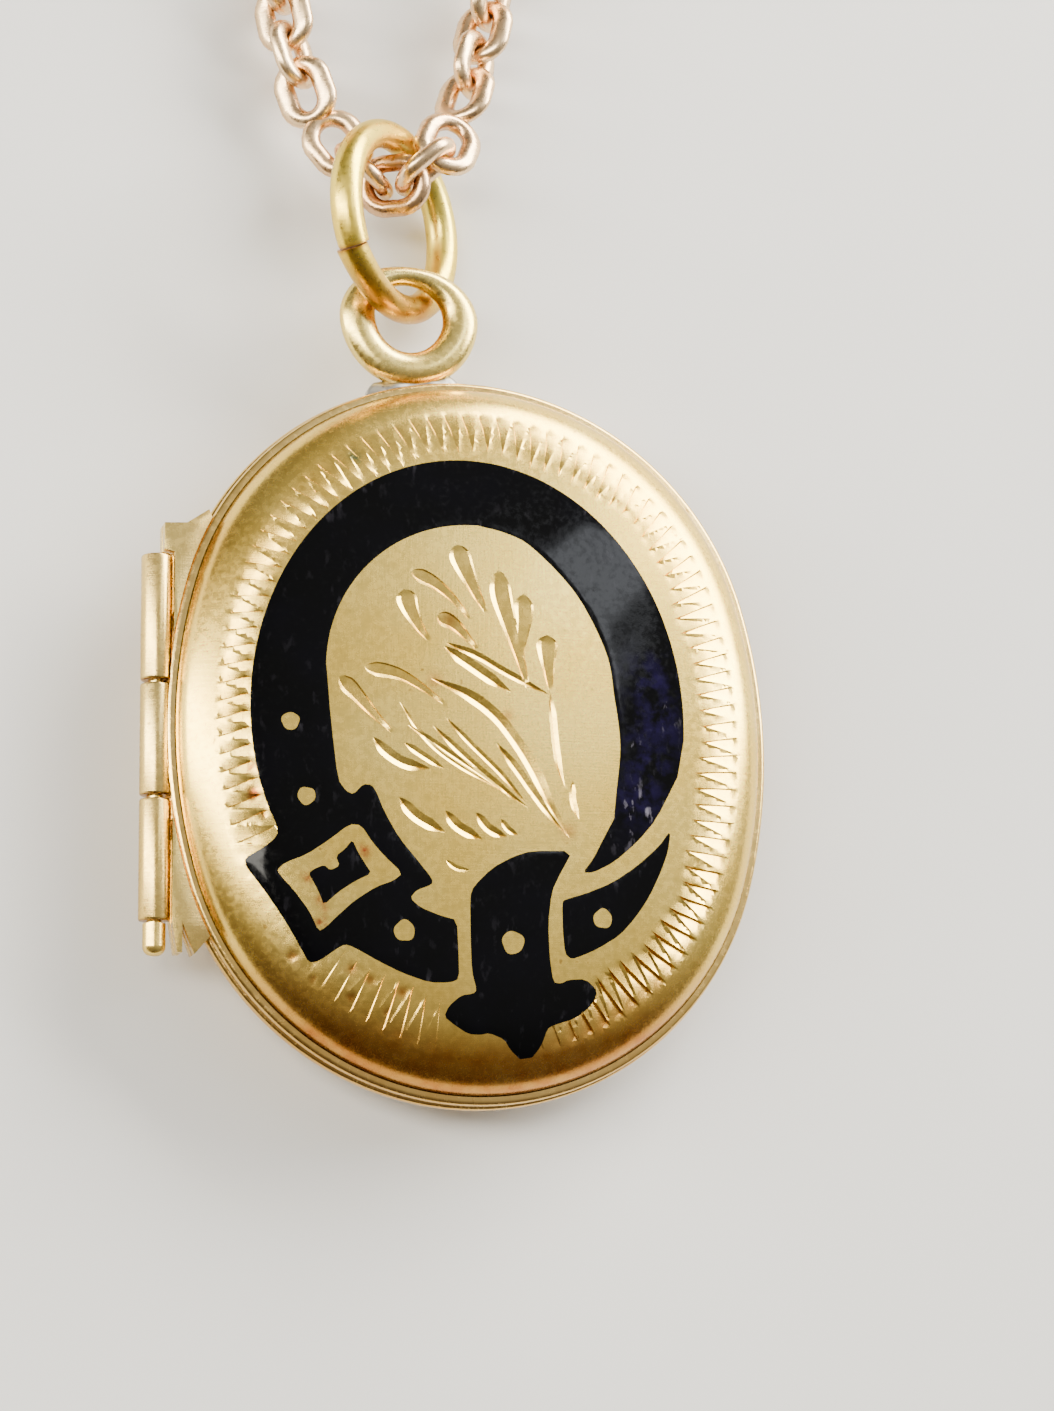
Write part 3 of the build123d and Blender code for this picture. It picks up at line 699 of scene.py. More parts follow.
def border_strength(along):
    """How deep the border is cut: deepest at the lower right, nearly gone at the foot and the lower left."""
    turn = along / oval_length * 2 * math.pi
    lower_right, top, worn = (np.exp(-((turn - middle) / spread)**2)
                              for middle, spread in ((5.85, 0.50), (2.05, 0.75), (4.60, 0.25)))
    lower_left, foot = (np.exp(-((turn - middle) / spread)**4)
                        for middle, spread in ((4.30, 0.27), (5.19, 0.26)))
    cut = 0.80 + 0.85 * lower_right - 0.22 * top - 0.58 * worn
    return cut * (1 - 0.97 * foot) * (1 - 0.95 * lower_left)


def border_depth(along, inset):
    """Depth of the wriggled border: a zigzag of facets, each falling to a steep step."""
    inner = border_reach(along)
    v = (inset - border_outer) / (inner - border_outer)
    inside = (v > 0) & (v < 1)
    u = np.mod(along / border_pitch, 1.0)
    left = 0.5 * v
    right = 1 - 0.5 * v
    outer_facet = (u >= left) & (u <= right)
    outer_share = (u - left) / np.maximum(right - left, 1e-3)
    inner_share = np.mod(u - right, 1.0) / np.maximum(1 + left - right, 1e-3)
    first, second = (deepest * np.minimum(unit(share / (1 - border_flank)), unit((1 - share) / border_flank))
                     for deepest, share in ((0.066, outer_share), (0.034, inner_share)))
    fade = unit(v / 0.10) * unit((1 - v) / 0.12)
    return np.where(inside, np.where(outer_facet, first, second), 0.0) * fade * border_strength(along)


def border_lines():
    """Ridge and foot lines of the border's facets."""
    lines = []
    for index in range(border_count):
        start = index * border_pitch
        end = start + border_pitch
        inner = float(border_reach(np.array([start + 0.5 * border_pitch]))[0])
        v = np.linspace(0.02, 0.98, 11)
        inset = border_outer + v * (inner - border_outer)
        foot = end - 0.5 * v * border_pitch
        for along in (start + 0.5 * v * border_pitch, foot, foot - border_flank * (1 - v) * border_pitch):
            lines.append(oval_points(along, inset))
    return lines


# ---------------------------------------------------------------- the lid's face
strokes = [Stroke(*leaf, True) for leaf in leaves] + [Stroke(*stem, False) for stem in stems]
outline_tree = point_tree(np.vstack([line for lines in cells.values() for line in lines]))


spacing = 0.125  # of the face's loose points
jitter = 0.012
clearance = 0.05  # of cuts from enamel and of loose points from the rim


def split_where_free(line):
    """The stretches of a line that lie on bare metal, clear of the enamel's edges."""
    free = distances(line, outline_tree) >= clearance
    for lines in cells.values():
        free &= ~inside_cell(line, lines)
    stretches = []
    current = []
    for point, good in zip(line, free):
        if good:
            current.append(point)
        elif current:
            stretches.append(current)
            current = []
    if current:
        stretches.append(current)
    return [np.array(stretch) for stretch in stretches if len(stretch) > 1]


def face_triangulation():
    """Points and triangles of the lid's face, with every outline and cut as an edge."""
    points = []
    edges = []

    def add_line(line, closed):
        start = len(points)
        points.extend(line)
        count = len(line)
        for index in range(count if closed else count - 1):
            edges.append((start + index, start + (index + 1) % count))

    add_line(oval_ring(face_edge, 0.0)[:, :2], True)
    for lines in cells.values():
        for line in lines:
            add_line(line, True)
    for line in border_lines() + [line for stroke in strokes for line in stroke.edge_lines()]:
        for stretch in split_where_free(line):
            add_line(stretch, False)
    fixed = np.array(points)
    xs = np.arange(-half_width, half_width, spacing)
    ys = np.arange(-half_length, half_length, spacing * 0.866)
    grid = np.array([(x + (0.5 * spacing if row % 2 else 0), y) for row, y in enumerate(ys) for x in xs])
    grid += rng.uniform(-jitter, jitter, grid.shape)
    _, inset = oval_coordinates(grid)
    grid = grid[inset > face_edge + clearance]
    everything = np.vstack([fixed, grid[distances(grid, point_tree(fixed)) > 0.055]])
    result = delaunay_2d_cdt([Vector(p) for p in everything], edges, [], 0, 1e-5, False)
    xy = np.array([tuple(p) for p in result[0]])
    triangles = np.array([face for face in result[2] if len(face) == 3])
    centres = xy[triangles].mean(1)
    _, inset = oval_coordinates(centres)
    return xy, triangles[inset > face_edge], centres[inset > face_edge]


face_xy, face_triangles, face_centres = face_triangulation()
face_along, face_inset = oval_coordinates(face_xy)
cell_of = np.full(len(face_triangles), -1)
for cell_index, lines in enumerate(cells.values()):
    cell_of[inside_cell(face_centres, lines)] = cell_index
# Places on the face: centre and radius.
pits = [
    (-7.54, -2.47, 0.16), (-6.24, -7.41, 0.15), (-4.43, -7.81, 0.14), (-3.86, -8.13, 0.13),
    (-4.43, -8.64, 0.11), (-2.83, -8.50, 0.15), (-7.20, -3.10, 0.09), (-3.30, -9.10, 0.09),
    (-5.60, -8.10, 0.08),
]
stains = [(-1.20, 3.38, 0.22), (0.64, 0.35, 0.17), (-1.75, 1.38, 0.25), (2.60, -3.30, 0.25)]
red_flecks = [
    (-4.06, -4.15, 0.19), (-5.38, -5.71, 0.16), (-5.39, -6.40, 0.18), (-5.84, -5.00, 0.15),
    (-7.50, -1.60, 0.18), (-7.47, -2.35, 0.20), (-5.30, -6.00, 0.12),
]
green_flecks = [(-4.21, 8.69, 0.20), (-4.12, 8.56, 0.13)]
# Painted shade on the upper-left rim, a dark reflection: centre and radius.
rim_painted_shade = [(-8.9, 6.0, 1.1), (-9.6, 4.6, 0.8)]
# Painted blue-purple sheen down the strap's right side: centre and radius.
painted_violet_sheen_places = [(5.6, 1.6, 0.9), (5.6, 0.4, 1.0), (5.3, -0.9, 1.0), (5.0, -2.1, 0.9)]
# Painted grey reflection down the strap's right side: centre and radius.
painted_reflection_places = [(4.9, -2.6, 0.8), (4.7, -0.4, 0.35), (5.9, 0.6, 0.4)]
depth = border_depth(face_along, face_inset)
for stroke in strokes:
    depth = stroke.cut(face_xy, depth)
depth += 0.03 * spots_at(face_xy, pits)
face_height = crown(face_inset)


def oriented(triangles, xy):
    """Triangles turned to face upward."""
    a, b, c = (xy[triangles[:, k]] for k in range(3))
    area = (b[:, 0] - a[:, 0]) * (c[:, 1] - a[:, 1]) - (b[:, 1] - a[:, 1]) * (c[:, 0] - a[:, 0])
    return np.where(area[:, None] < 0, triangles[:, ::-1], triangles)


face_triangles = oriented(face_triangles, face_xy)


def directed_border(triangles):
    """Edges used by one triangle only, in that triangle's direction."""
    seen = dict.fromkeys(edge for a, b, c in triangles for edge in ((a, b), (b, c), (c, a)))
    return [edge for edge in seen if (edge[1], edge[0]) not in seen]


def walls(edges, count):
    """Quads that hang from edges down to the same points counted on by count."""
    return [(b, a, count + a, count + b) for a, b in edges]


rim_start = 0.42  # inset from which the rim follows the crown's own points


def build_lid():
    """Closed lid: engraved face, cells for the enamel, rim and hollow inside."""
    floor = face_triangles[cell_of >= 0]
    count = len(face_xy)
    top = np.c_[face_xy, face_height - depth]
    low = np.c_[face_xy, face_height - enamel_depth]
    profile = [(inset, float(crown(np.array(inset)))) for inset in np.linspace(face_edge, rim_start, 14)]
    early = crown_curve[crown_curve[:, 0] < rim_start][::-1]
    for share in np.linspace(0.05, 1, 12):
        pick = early[min(len(early) - 1, int(share * len(early)))]
        if pick[1] < profile[-1][1] - 1e-4:
            profile.append(tuple(pick))
    profile += [(0.28, 2.66), (0.29, 2.58), (0.33, 2.545), (0.70, 2.545), (0.75, 2.60), (0.76, 2.85),
                (0.80, 3.02), (0.92, 3.22), (1.12, 3.36), (1.45, 3.46), (2.20, 3.75), (2.95, 4.05)]
    swept, swept_faces = oval_sweep(profile, closed=False, spans=(lid_spans, case_spans))
    swept, cap_faces = oval_cap(len(swept) - around, around, swept, [4.5, 6.5, 8.5], [4.06, 4.07, 4.08])
    vertices = np.vstack([top, low, swept])
    faces = shifted(face_triangles[cell_of < 0], 0)
    faces += shifted(floor, count) + walls(directed_border(floor), count)
    faces += shifted(swept_faces + cap_faces, 2 * count)
    lid = make_object("front_shell_engraved", vertices, faces, "lid", lid_gold, "gold_lid", "front_shell")
    xy = vertices[:, :2]
    _, inset = oval_coordinates(xy)
    patina_and_shade = np.zeros(len(vertices))
    patina_and_shade[:count] = unit(depth / 0.08) * (0.10 + 0.25 * (face_inset < 3.4))
    patina_and_shade[count:2 * count] = 0.8
    # Painted shade, a dark reflection: brown over the rim toward the foot, and a little over the whole lower
    # part.
    patina_and_shade += 0.95 * unit((2.3 - inset) / 1.4) * unit((-xy[:, 1] - 6.5) / 4.0)
    patina_and_shade += 0.34 * unit((-xy[:, 1] - 7.2) / 3.4)
    patina_and_shade += 0.9 * spots_at(xy, pits) + 0.7 * spots_at(xy, stains)
    # Painted shade on the upper-left rim.
    patina_and_shade += 0.55 * unit((1.0 - inset) / 0.7) * spots_at(xy, rim_painted_shade)
    set_wear_and_shade(lid, patina_and_shade)
    set_wear_and_shade(lid, spots_at(xy, red_flecks), "red_fleck")
    set_wear_and_shade(lid, spots_at(xy, green_flecks), "green_fleck")
    return lid


lid = build_lid()
weld = lid.modifiers.new("weld", "WELD")
weld.merge_threshold = 0.000002
bpy.context.view_layer.objects.active = lid
lid.data = bpy.data.meshes.new_from_object(lid.evaluated_get(bpy.context.evaluated_depsgraph_get()))
lid.modifiers.clear()
keep_sharp(lid, 11)


def build_enamel(name, cell_index):
    """Closed enamel filling: domed a little inside its edges, which stand just below the metal."""
    used, triangles = np.unique(face_triangles[cell_of == cell_index], return_inverse=True)
    triangles = triangles.reshape(-1, 3)
    xy = face_xy[used]
    distance = distances(xy, outline_tree)
    border = directed_border(triangles)
    distance[[a for a, _ in border]] = 0.0
    lift = enamel_dip * (1 - np.exp(-distance / 0.12))
    wave = 0.006 * np.sin(xy[:, 0] * 1.9 + 0.6) * np.cos(xy[:, 1] * 1.6) * unit(distance / 0.5)
    count = len(used)
    points = np.vstack([np.c_[xy, face_height[used] - enamel_dip + lift + wave],
                        np.c_[xy, face_height[used] - enamel_depth + 0.004]])
    faces = shifted(triangles, 0) + shifted(triangles[:, ::-1], count) + walls(border, count)
    piece = make_object(name + "_glaze", points, faces, "lid", enamel, "enamel_black", name)
    keep_sharp(piece, 50)
    rim = np.exp(-np.r_[distance, distance] / 0.10)
    # Painted blue-purple sheen down the strap's right side.
    set_wear_and_shade(piece, spots_at(points, painted_violet_sheen_places), "painted_violet_sheen")
    # Grey a little all over and along the edges, with a painted grey reflection down the right side.
    set_wear_and_shade(piece, 0.02 + 0.12 * rim + 0.9 * spots_at(points, painted_reflection_places), "scuffs_and_painted_reflection")


for cell_index, cell_name in enumerate(cells):
    build_enamel(cell_name, cell_index)


# ---------------------------------------------------------------- swept rings of the case
def swept_piece(name, profile, body, material, slot, node, spans=None, patina_and_shade=0.0):
    """Band carried round the oval, with a little brown all round and painted shade toward its foot."""
    vertices, faces = oval_sweep(profile, spans=spans)
    piece = make_object(name, vertices, faces, body, material, slot, node)
    # Painted shade: browner toward the foot of the oval.
    set_wear_and_shade(piece, patina_and_shade + 0.35 * unit((-vertices[:, 1] - 6.0) / 5.0))
    keep_sharp(piece, 40)


def quarter_turn(steps):
    """Sines and cosines of the angles from 0 to 90 degrees."""
    turns = [math.pi / 2 * index / steps for index in range(steps + 1)]
    return [(math.sin(turn), math.cos(turn)) for turn in turns]


def rounded(outer, inner, low, high, radius):
    """Closed profile of a band: rounded outside edges, square inside ones."""
    return ([(inner, low)]
            + [(outer + radius - radius * sin, low + radius - radius * cos) for sin, cos in quarter_turn(5)]
            + [(outer + radius - radius * cos, high - radius + radius * sin) for sin, cos in quarter_turn(5)]
            + [(inner, high)])


swept_piece("front_bead_wire", rounded(0.0, 0.27, lid_base, 2.93, 0.15), "lid", bead_gold, "gold_bead",
            "front_bead", (lid_spans, case_spans), 0.10)
swept_piece("back_bead_wire", rounded(-0.10, 0.19, 2.06, seam - 0.005, 0.15), "case", bead_gold, "gold_bead",
            "back_bead", (case_spans, lid_spans), 0.15)
swept_piece("catch_lip_band", rounded(0.80, 1.14, 1.62, 2.90, 0.10), "case", inside_gold, "gold_inside",
            "catch_lip")


def bowl(inset, floor, radius, steps):
    """Profile of a wall that turns inward to a floor."""
    return [(inset + radius - radius * cos, floor + radius - radius * sin)
            for sin, cos in quarter_turn(steps)]


def build_back():
    """Closed back shell: outer skin, inner skin and the flat seam between them."""
    outer = [(0.21, seam), (0.20, 2.35)] + bowl(0.20, 0.0, 1.7, 12)
    swept, faces = oval_sweep(outer, closed=False, spans=(case_spans, lid_spans))
    outside, cap = oval_cap(len(swept) - around, around, swept, [3.0, 5.0, 7.5], [0.004, 0.008, 0.010])
    faces = [face[::-1] for face in faces + cap]
    start = len(outside)
    inner = [(0.22, seam), (0.78, seam), (0.80, 2.44)] + bowl(0.80, back_floor, 1.15, 8)
    swept, inside_faces = oval_sweep(inner, closed=False)
    vertices, cap = oval_cap(start + len(swept) - around, around, np.vstack([outside, swept]), [3.0, 6.0],
                             [back_floor, back_floor])
    faces += shifted(inside_faces, start) + cap + ring_faces(0, start, around)
    piece = make_object("back_shell_skin", vertices, faces, "case", back_gold, "gold_back", "back_shell")
    set_wear_and_shade(piece, 0.10 + 0.12 * unit((0.8 - vertices[:, 2]) / 0.8))
    keep_sharp(piece, 40)


build_back()


# ---------------------------------------------------------------- cards and clear covers
def oval_disc(name, node, inset, low, high, body, material, slot, domes=(0.0, 0.0), wave=0.0):
    """Closed oval disc with eased edges; each side rises from its edge by its dome."""
    count, edge = 240, 0.04
    low_edge, high_edge = low + domes[0], high - domes[1]
    side = [(inset + edge, low_edge), (inset, low_edge + edge),
            (inset, high_edge - edge), (inset + edge, high_edge)]
    vertices, faces = oval_sweep(side, count, closed=False)
    insets = [inset + step for step in (0.3, 0.9, 1.8, 3.0, 4.5, 6.2)]
    shares = [1 - ((inset + 8.1 - at) / 8.1)**2 for at in insets]
    for start, edge_height, dome in ((0, low_edge, -domes[0]), (3 * count, high_edge, domes[1])):
        heights = [edge_height + dome * share for share in shares]
        vertices, cap = oval_cap(start, count, vertices, insets, heights)
        faces += cap
    inner = vertices[4 * count:]
    inner[:, 2] += wave * np.sin(0.9 * inner[:, 0] + 1) * np.cos(0.7 * inner[:, 1])
    piece = make_object(name, vertices, faces, body, material, slot, node)
    shape = bmesh.new()
    shape.from_mesh(piece.data)
    bmesh.ops.recalc_face_normals(shape, faces=shape.faces)
    shape.to_mesh(piece.data)
    shape.free()
    keep_sharp(piece, 50)


card, cover = (aged_card, "card_aged"), (clear_cover, "cover_clear")
oval_disc("back_photo_card", "back_card", 1.90, back_floor + 0.02, 0.68, "case", *card, wave=0.012)
oval_disc("front_photo_card", "front_card", 1.66, 3.22, 3.41, "lid", *card, wave=0.012)
oval_disc("back_clear_cover", "back_cover", 1.50, 0.70, 0.98, "case", *cover, domes=(0.0, 0.07))
oval_disc("front_clear_cover", "front_cover", 1.66, 2.95, 3.20, "lid", *cover, domes=(0.06, 0.0))


# ---------------------------------------------------------------- hinge
def eased(name, node, body, width):
    """Copy of a hinge piece of the CAD with its outer edges rounded by a width, and its points."""
    shape = bmesh.new()
    shape.from_mesh(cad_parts[node].data)
    bmesh.ops.remove_doubles(shape, verts=shape.verts, dist=1e-7)
    corners = [edge for edge in shape.edges
               if edge.is_manifold and edge.is_convex and edge.calc_face_angle() > math.radians(30)]
    bmesh.ops.bevel(shape, geom=corners, offset=MM * width, offset_type="OFFSET", segments=3, profile=0.5,
                    affect="EDGES", clamp_overlap=True)
    vertices = [tuple(c / MM for c in vertex.co) for vertex in shape.verts]
    shape.verts.index_update()
    faces = [tuple(vertex.index for vertex in face.verts) for face in shape.faces]
    shape.free()
    piece = make_object(name, vertices, faces, body, hinge_gold, "gold_hinge", node)
    keep_sharp(piece, 32)
    return piece, np.array(vertices)


for leaf, leaf_body in (("front_leaf", "lid"), ("back_leaf", "case")):
    plate, points = eased(leaf + "_plate", leaf, leaf_body, 0.11)
    set_wear_and_shade(plate, 0.5 * unit((points[:, 0] + 9.7) / 0.8))
for knuckle, knuckle_body in (("top", "case"), ("middle", "lid"), ("bottom", "case")):
    tube, points = eased(f"knuckle_{knuckle}_tube", "knuckle_" + knuckle, knuckle_body, 0.07)
    from_end = np.minimum(points[:, 1] - points[:, 1].min(), points[:, 1].max() - points[:, 1])
    set_wear_and_shade(tube, np.exp(-from_end / 0.06))


# ---------------------------------------------------------------- bars, rings and links
def unit_vector(vector):
    """The direction of a vector, with length 1."""
    return np.asarray(vector, float) / np.linalg.norm(vector)


def bar_section(middle, outward, axis, half_out, half_axis, sides):
    """Points round a bar's oval section."""
    turn = full_turn(sides)
    return middle + np.outer(half_out * np.cos(turn), outward) + np.outer(half_axis * np.sin(turn), -axis)


def bent_bar(centre, across, up, first, sweep, steps, shape, sides=24):
    """Bar bent round a centre; shape gives its radius and half widths at each angle in degrees."""
    across, up = unit_vector(across), unit_vector(up)
    axis = np.cross(across, up)
    closed = sweep >= 360.0
    rows = []
    for angle in first + np.linspace(0, sweep, steps, endpoint=not closed):
        radius, half_out, half_axis = shape(angle)
        turn = math.radians(angle)
        outward = across * math.cos(turn) + up * math.sin(turn)
        rows.append(bar_section(centre + outward * radius, outward, axis, half_out, half_axis, sides))
    return np.vstack(rows), grid_faces(steps, sides, closed, ends=not closed)


bail_centre = (-1.86, 14.15, 2.20)
bail_radius, bail_half_out, bail_half_axis = 1.76, 0.60, 0.43  # at the case


def bail_shape(angle):
    """Thick at the case, thin and a little uneven at the top."""
    top = max(0.0, math.sin(math.radians(angle)))**1.6
    lump = 0.02 * math.sin(math.radians(3 * angle + 40))
    return bail_radius - 0.26 * top + lump, bail_half_out - 0.29 * top, bail_half_axis - 0.05 * top


points, faces = bent_bar(bail_centre, (1, 0, 0), (0, 1, 0), 0, 360, 96, bail_shape)
bail = make_object("bail_wire", points, faces, "case", bail_gold, "gold_ring", "bail_loop")
bail_inside = unit((1.35 - np.hypot(points[:, 0] - bail_centre[0], points[:, 1] - bail_centre[1])) / 0.3)
set_wear_and_shade(bail, 0.5 * bail_inside + np.clip((12.4 - points[:, 1]) / 0.8, 0, 0.5))


def solder_blob():
    """Lump of solder that fills the corner between the bail and the case."""
    steps, sides = 60, 28
    turn = full_turn(sides)
    rows = []
    for share in np.linspace(0.001, 0.999, steps):
        x = -3.38 + 3.30 * share
        wall = rise + math.sqrt(end_radius**2 - x**2) + 0.02
        swell = (1 - (2 * share - 1)**4)**0.5
        out = (0.52 + 0.07 * math.sin(9 * share + 1) + 0.05 * math.sin(23 * share)) * swell
        high = 0.35 * swell
        lump = 1 + 0.07 * np.sin(3 * turn + 11 * share) + 0.04 * np.sin(5 * turn - 17 * share)
        y, z = wall + out * lump * np.cos(turn), 2.08 + high * lump * np.sin(turn)
        rows.append(np.c_[np.full(sides, x), y, z])
    faces = grid_faces(steps, sides, False, ends=True)
    piece = make_object("bail_solder_lump", np.vstack(rows), faces, "case", solder_grey, "solder",
                        "bail_solder")
    set_wear_and_shade(piece, np.zeros(steps * sides))


solder_blob()

jump_centre = (-2.374, 17.397, 2.526)
jump_radius = 2.95
jump_wire = 0.48
jump_tilt = math.radians(43.0)
jump_start = 212.8
jump_sweep = 359.1  # its two ends don't quite meet


def jump_shape(angle):
    """Round wire, a little thicker at its sides; one end stands a little outward."""
    wire = jump_wire + 0.055 * math.cos(math.radians(angle))**2
    spring = 0.17 * max(0.0, 1 - (angle - jump_start) / 34)**2
    return jump_radius + spring, wire, wire


points, faces = bent_bar(jump_centre, (math.cos(jump_tilt), 0, -math.sin(jump_tilt)), (0, 1, 0),
                         jump_start, jump_sweep, 160, jump_shape)
jump = make_object("jump_ring_wire", points, faces, "ring", ring_gold, "gold_ring", "jump_ring")
keep_sharp(jump, 50)
# Painted shade: brown over the ring's lower part by the bail, and dark cut ends in its gap.
jump_painted_shade = np.clip((15.8 - points[:, 1]) / 1.5, 0, 0.9)
jump_painted_shade[:24] = jump_painted_shade[-24:] = 1
set_wear_and_shade(jump, jump_painted_shade)

link_wire = 0.30
link_straight = 0.225
link_half = 0.775
link_sides = 12
link_steps = 24


def link_mesh(centre, along, across, straight=link_straight, half=link_half, flatten=0.10):
    """One cable link: a slot-shaped ring of wire, rolled wider along its sides."""
    along = unit_vector(along)
    across = unit_vector(across - along * (across @ along))
    axis = np.cross(along, across)
    rows = []
    for index in range(link_steps):
        turn = 2 * math.pi * (index + 0.5) / link_steps
        outward = along * math.cos(turn) + across * math.sin(turn)
        shift = along * (straight if math.cos(turn) > 0 else -straight)
        half_out = link_wire - 0.2 * flatten + flatten * math.sin(turn)**2
        rows.append(bar_section(centre + shift + outward * half, outward, axis, half_out,
                                link_wire - 0.3 * flatten, link_sides))
    return np.vstack(rows), grid_faces(link_steps, link_sides, True)


def link_inner_darkening(count):
    """Darker on the inner side of every link's wire, for a run."""
    return np.tile(0.55 * unit(-np.cos(full_turn(link_sides))), count * link_steps)


def joined(parts):
    """Points and faces of several (points, faces) together."""
    faces, start = [], 0
    for part_points, part_faces in parts:
        faces += shifted(part_faces, start)
        start += len(part_points)
    return np.vstack([part_points for part_points, _ in parts]), faces


def rolled_side(along, roll):
    """Direction across a link, turned about its length from the horizontal."""
    along = unit_vector(along)
    side = unit_vector(np.cross((0, 0, 1), along))
    return side * math.cos(math.radians(roll)) + np.cross(along, side) * math.sin(math.radians(roll))


# Centre, direction and roll of the five links at the jump ring; it holds the middle one.
ring_links = [
    ((-4.05, 20.41, 1.41), (0.576, -0.800, 0.167), 7),
    ((-3.25, 19.39, 1.75), (0.616, -0.701, 0.359), 108),
    ((-2.37, 18.74, 2.35), (0.835, -0.040, 0.548), 9),
    ((-1.40, 19.32, 2.84), (0.738, 0.655, 0.164), 78),
    ((-0.57, 20.27, 2.67), (0.387, 0.861, -0.330), 179),
]
held = 2
points, faces = joined([
    link_mesh(centre, along, rolled_side(along, roll), flatten=0.0 if index == held else 0.06)
    for index, (centre, along, roll) in enumerate(ring_links)])
links_at_ring = make_object("ring_link_wires", points, faces, "chain", chain_gold, "gold_chain",
                            "chain_ring_links")
held_patina = np.zeros(len(points))
held_patina[held * link_steps * link_sides:(held + 1) * link_steps * link_sides] = 0.6
set_wear_and_shade(links_at_ring, link_inner_darkening(len(ring_links)) + held_patina)

# ---------------------------------------------------------------- chain runs and coils
link_pitch = 1.385
chain_diameter = 2 * (link_half + link_wire)
chain_height = chain_diameter / 2 + 0.02
upper_height = chain_height + chain_diameter + 0.05
coil_centre = (-2.0, 48.0)
coil_outer_turn = 13.2
coil_pitch = 2.2
coil_approach = 35.0
points_per_turn = 16
routes = {
    "left": [(-4.90, 21.60, 1.25), (-5.95, 24.60, chain_height), (-6.10, 28.20, chain_height),
             (-7.00, 31.60, chain_height), (-8.40, 34.12, chain_height)],
    "right": [(0.05, 21.75, 2.05), (1.15, 24.90, 1.20), (1.70, 28.30, 1.85), (3.30, 31.40, 3.05),
              (4.40, 34.12, upper_height)],
}
coil_hands = {"left": -1, "right": 1}
coil_sweeps = {"left": 1005.0, "right": 1045.0}
coil_heights = {"left": chain_height, "right": upper_height}
coil_ends = {
    "left": [(0.15, -5.55, chain_height), (-0.55, -4.75, 0.95)],
    "right": [(4.35, -4.95, 2.9), (5.15, -3.0, 1.7), (4.75, -1.75, 0.9)],
}


def coil_points(side):
    """Spiral of the put-away chain from its outer turn inward, and the few links that lead to its end."""
    around_centre = []
    total = int(coil_sweeps[side] / 360 * points_per_turn)
    for index in range(total + 1):
        swept = coil_sweeps[side] * index / total
        radius = coil_outer_turn - coil_pitch * swept / 360
        turn = math.radians(swept - coil_approach)
        around_centre.append((coil_hands[side] * radius * math.cos(turn), radius * math.sin(turn),
                              coil_heights[side]))
    return [(coil_centre[0] + x, coil_centre[1] + y, z) for x, y, z in around_centre + coil_ends[side]]


def nurbs_path(name, points):
    """Points of the smooth line whose control points are given."""
    curve = bpy.data.curves.new(name, "CURVE")
    curve.dimensions = "3D"
    spline = curve.splines.new("NURBS")
    spline.points.add(len(points) - 1)
    for target, point in zip(spline.points, points):
        target.co = (*[MM * c for c in point], 1.0)
    spline.order_u = 3
    spline.use_endpoint_u = True
    spline.resolution_u = 10
    holder = bpy.data.objects.new(name, curve)
    bpy.context.scene.collection.objects.link(holder)
    mesh = bpy.data.meshes.new_from_object(holder.evaluated_get(bpy.context.evaluated_depsgraph_get()))
    path = np.array([tuple(v.co) for v in mesh.vertices]) / MM
    bpy.data.objects.remove(holder)
    return path


def chain_along(path):
    """Real links along a path, each turned a quarter from the last, with its length and their count."""
    at = np.concatenate([[0], np.cumsum(np.linalg.norm(np.diff(path, axis=0), axis=1))])
    count = int(at[-1] / link_pitch)
    parts = []
    for index in range(count):
        middle = (index + 0.5) * link_pitch
        centre, ahead, behind = (np.array([np.interp(middle + shift, at, path[:, k]) for k in range(3)])
                                 for shift in (0.0, 0.5, -0.5))
        along = ahead - behind
        roll = (45 if index % 2 else -45) + rng.uniform(-7, 7)
        parts.append(link_mesh(centre, along, rolled_side(along, roll), 0.27, 0.70))
    return joined(parts), at[-1], count


clasp_pieces = [links_at_ring, "clasp_jump_ring", "clasp_body", "clasp_bolt", "clasp_spring"]
for side, last_ring_link, pieces in (("left", ring_links[0], clasp_pieces),
                                     ("right", ring_links[-1], ["chain_end_ring"])):
    path = nurbs_path("route_" + side, routes[side] + coil_points(side))
    (points, faces), length, count = chain_along(path)
    piece = make_object("chain_" + side, points, faces, "chain", chain_gold, "gold_chain",
                        "chain_run_" + side, "chain_coil_" + side)
    set_wear_and_shade(piece, link_inner_darkening(count))

# ---------------------------------------------------------------- finishes of the CAD pieces that stay
kept = {
    "hinge_pin": hinge_gold, "front_frame": inside_gold, "back_frame": inside_gold, "clasp_body": ring_gold,
    "clasp_bolt": ring_gold, "clasp_spring": spring_steel, "clasp_jump_ring": ring_gold,
    "chain_end_ring": ring_gold,
}
for node, material in kept.items():
    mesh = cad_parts[node].data
    mesh.materials.clear()
    mesh.materials.append(material)


# ---------------------------------------------------------------- floor, light and camera
def add_floor():
    """Plain pale paper."""
    bpy.ops.mesh.primitive_plane_add(size=3.0, location=(0, 0, -0.0001))
    floor = bpy.context.object
    floor.name = "studio_floor"
    material, tree, shader, where = principled("floor_paper", Roughness=0.75)
    cloud = noise_node(tree, where, 30, 4)
    tone = ramp_node(tree, cloud, [(0.3, (0.70, 0.69, 0.67)), (0.7, (0.76, 0.75, 0.73))])
    tree.links.new(tone, shader.inputs["Base Color"])
    floor.data.materials.append(material)


def add_light(name, position, size, power, colour):
    """Rectangular soft light turned to the locket."""
    data = bpy.data.lights.new(name, "AREA")
    data.shape = "RECTANGLE"
    data.size, data.size_y = size
    data.energy = power
    data.color = colour
    light = bpy.data.objects.new(name, data)
    bpy.context.scene.collection.objects.link(light)
    light.location = position
    light.rotation_euler = (Vector((0, 0, 0.003)) - Vector(position)).to_track_quat("-Z", "Y").to_euler()


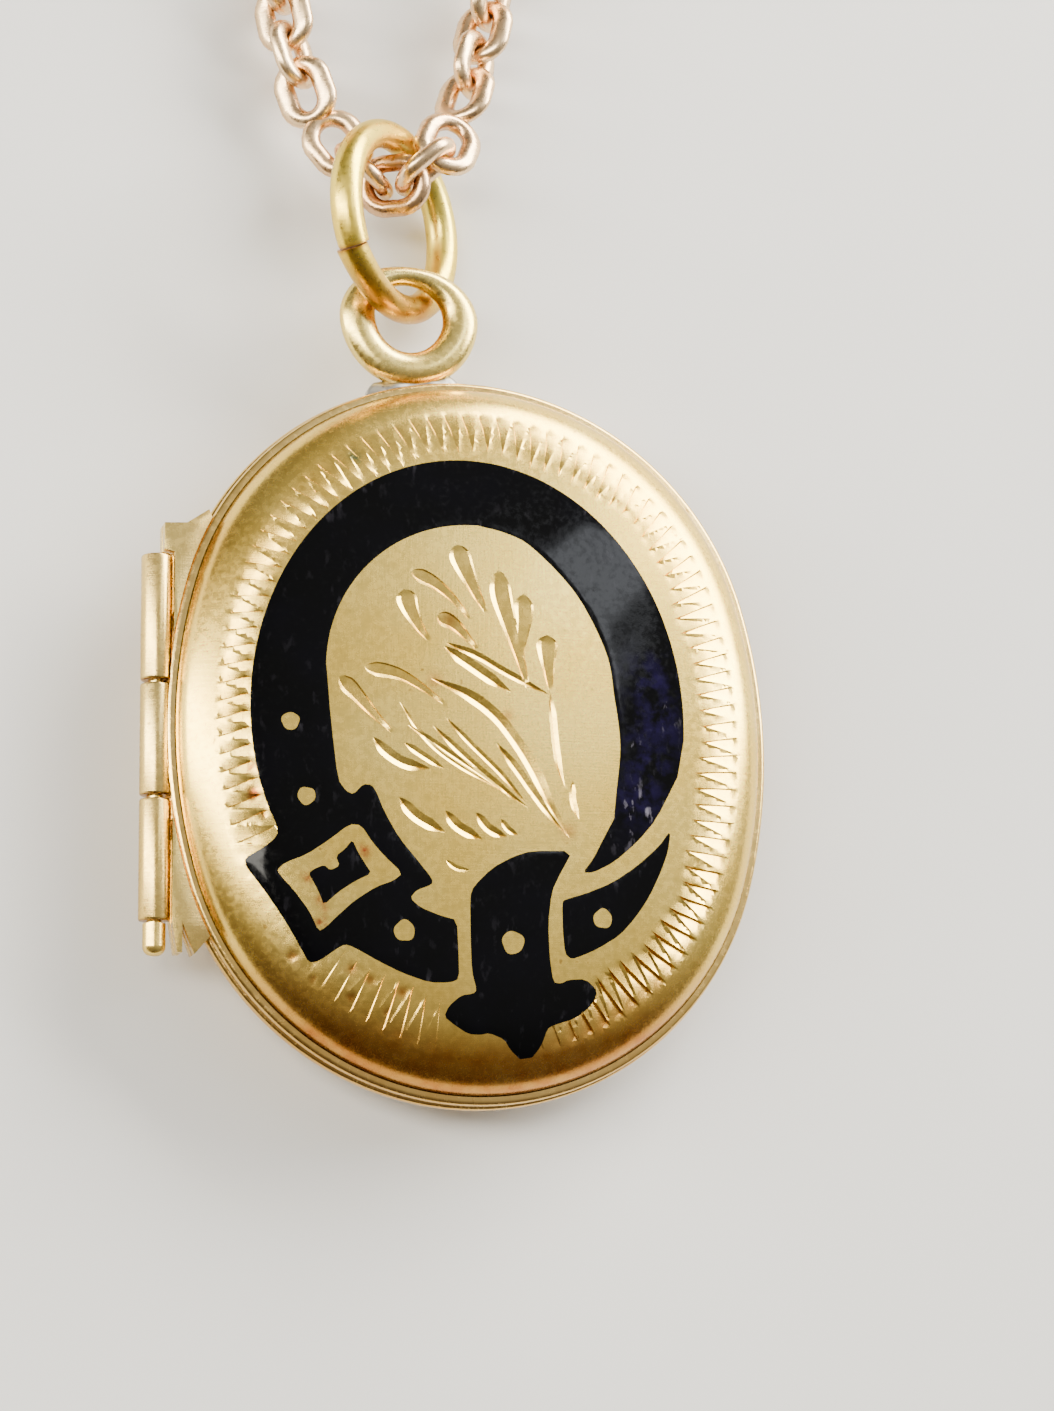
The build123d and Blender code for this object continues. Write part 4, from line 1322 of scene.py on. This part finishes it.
add_floor()
add_light("key_upper_right", (0.175, 0.155, 0.12), (0.28, 0.12), 2.4, (1.0, 0.97, 0.90))
add_light("strip_left", (-0.19, 0.035, 0.13), (0.06, 0.42), 1.55, (1.0, 0.96, 0.86))
add_light("window_right", (0.105, 0.085, 0.20), (0.022, 0.10), 0.060, (0.90, 0.94, 1.0))


def add_world():
    """Soft studio room: lit from the upper right, darker toward the lower left."""
    world = bpy.data.worlds.new("studio")
    bpy.context.scene.world = world
    world.use_nodes = True
    tree = world.node_tree
    direction = tree.nodes.new("ShaderNodeTexCoord").outputs["Generated"]
    dot = tree.nodes.new("ShaderNodeVectorMath")
    dot.operation = "DOT_PRODUCT"
    tree.links.new(direction, dot.inputs[0])
    dot.inputs[1].default_value = (0.56, 0.46, 0.69)
    tone = ramp_node(tree, map_range(tree, dot.outputs["Value"], -0.2, 1.0, 0.0, 1.0),
                     [(0.0, (0.12, 0.09, 0.07)), (0.55, (0.23, 0.22, 0.205)), (0.92, (0.62, 0.61, 0.59))])
    tree.links.new(tone, tree.nodes["Background"].inputs["Color"])
    tree.nodes["Background"].inputs["Strength"].default_value = 1.0


add_world()

# The camera looks down at the case from its lower left, turned a little off its centre.
view_distance = 0.100
lens = 106.018975  # millimetres, for a sensor 36 mm wide
look_at = Vector((0, 0, 0.0027))
back = Vector((-math.tan(math.radians(16)), -math.tan(math.radians(12)), 1)).normalized()
right = Vector((0, 1, 0)).cross(back).normalized()
level = Matrix((right, back.cross(right), back)).transposed()
small_turn = Vector((-0.0100, 0.0177, 0.0134))
off_centre = Matrix.Rotation(-small_turn.length, 3, small_turn.normalized())
camera_data = bpy.data.cameras.new("camera")
camera_data.sensor_width = 36.0
camera_data.sensor_fit = "HORIZONTAL"
camera_data.lens = lens
camera_data.clip_start = 0.001
camera = bpy.data.objects.new("camera", camera_data)
bpy.context.scene.collection.objects.link(camera)
camera.matrix_world = Matrix.Translation(look_at + view_distance * back) @ (level @ off_centre).to_4x4()
bpy.context.scene.camera = camera
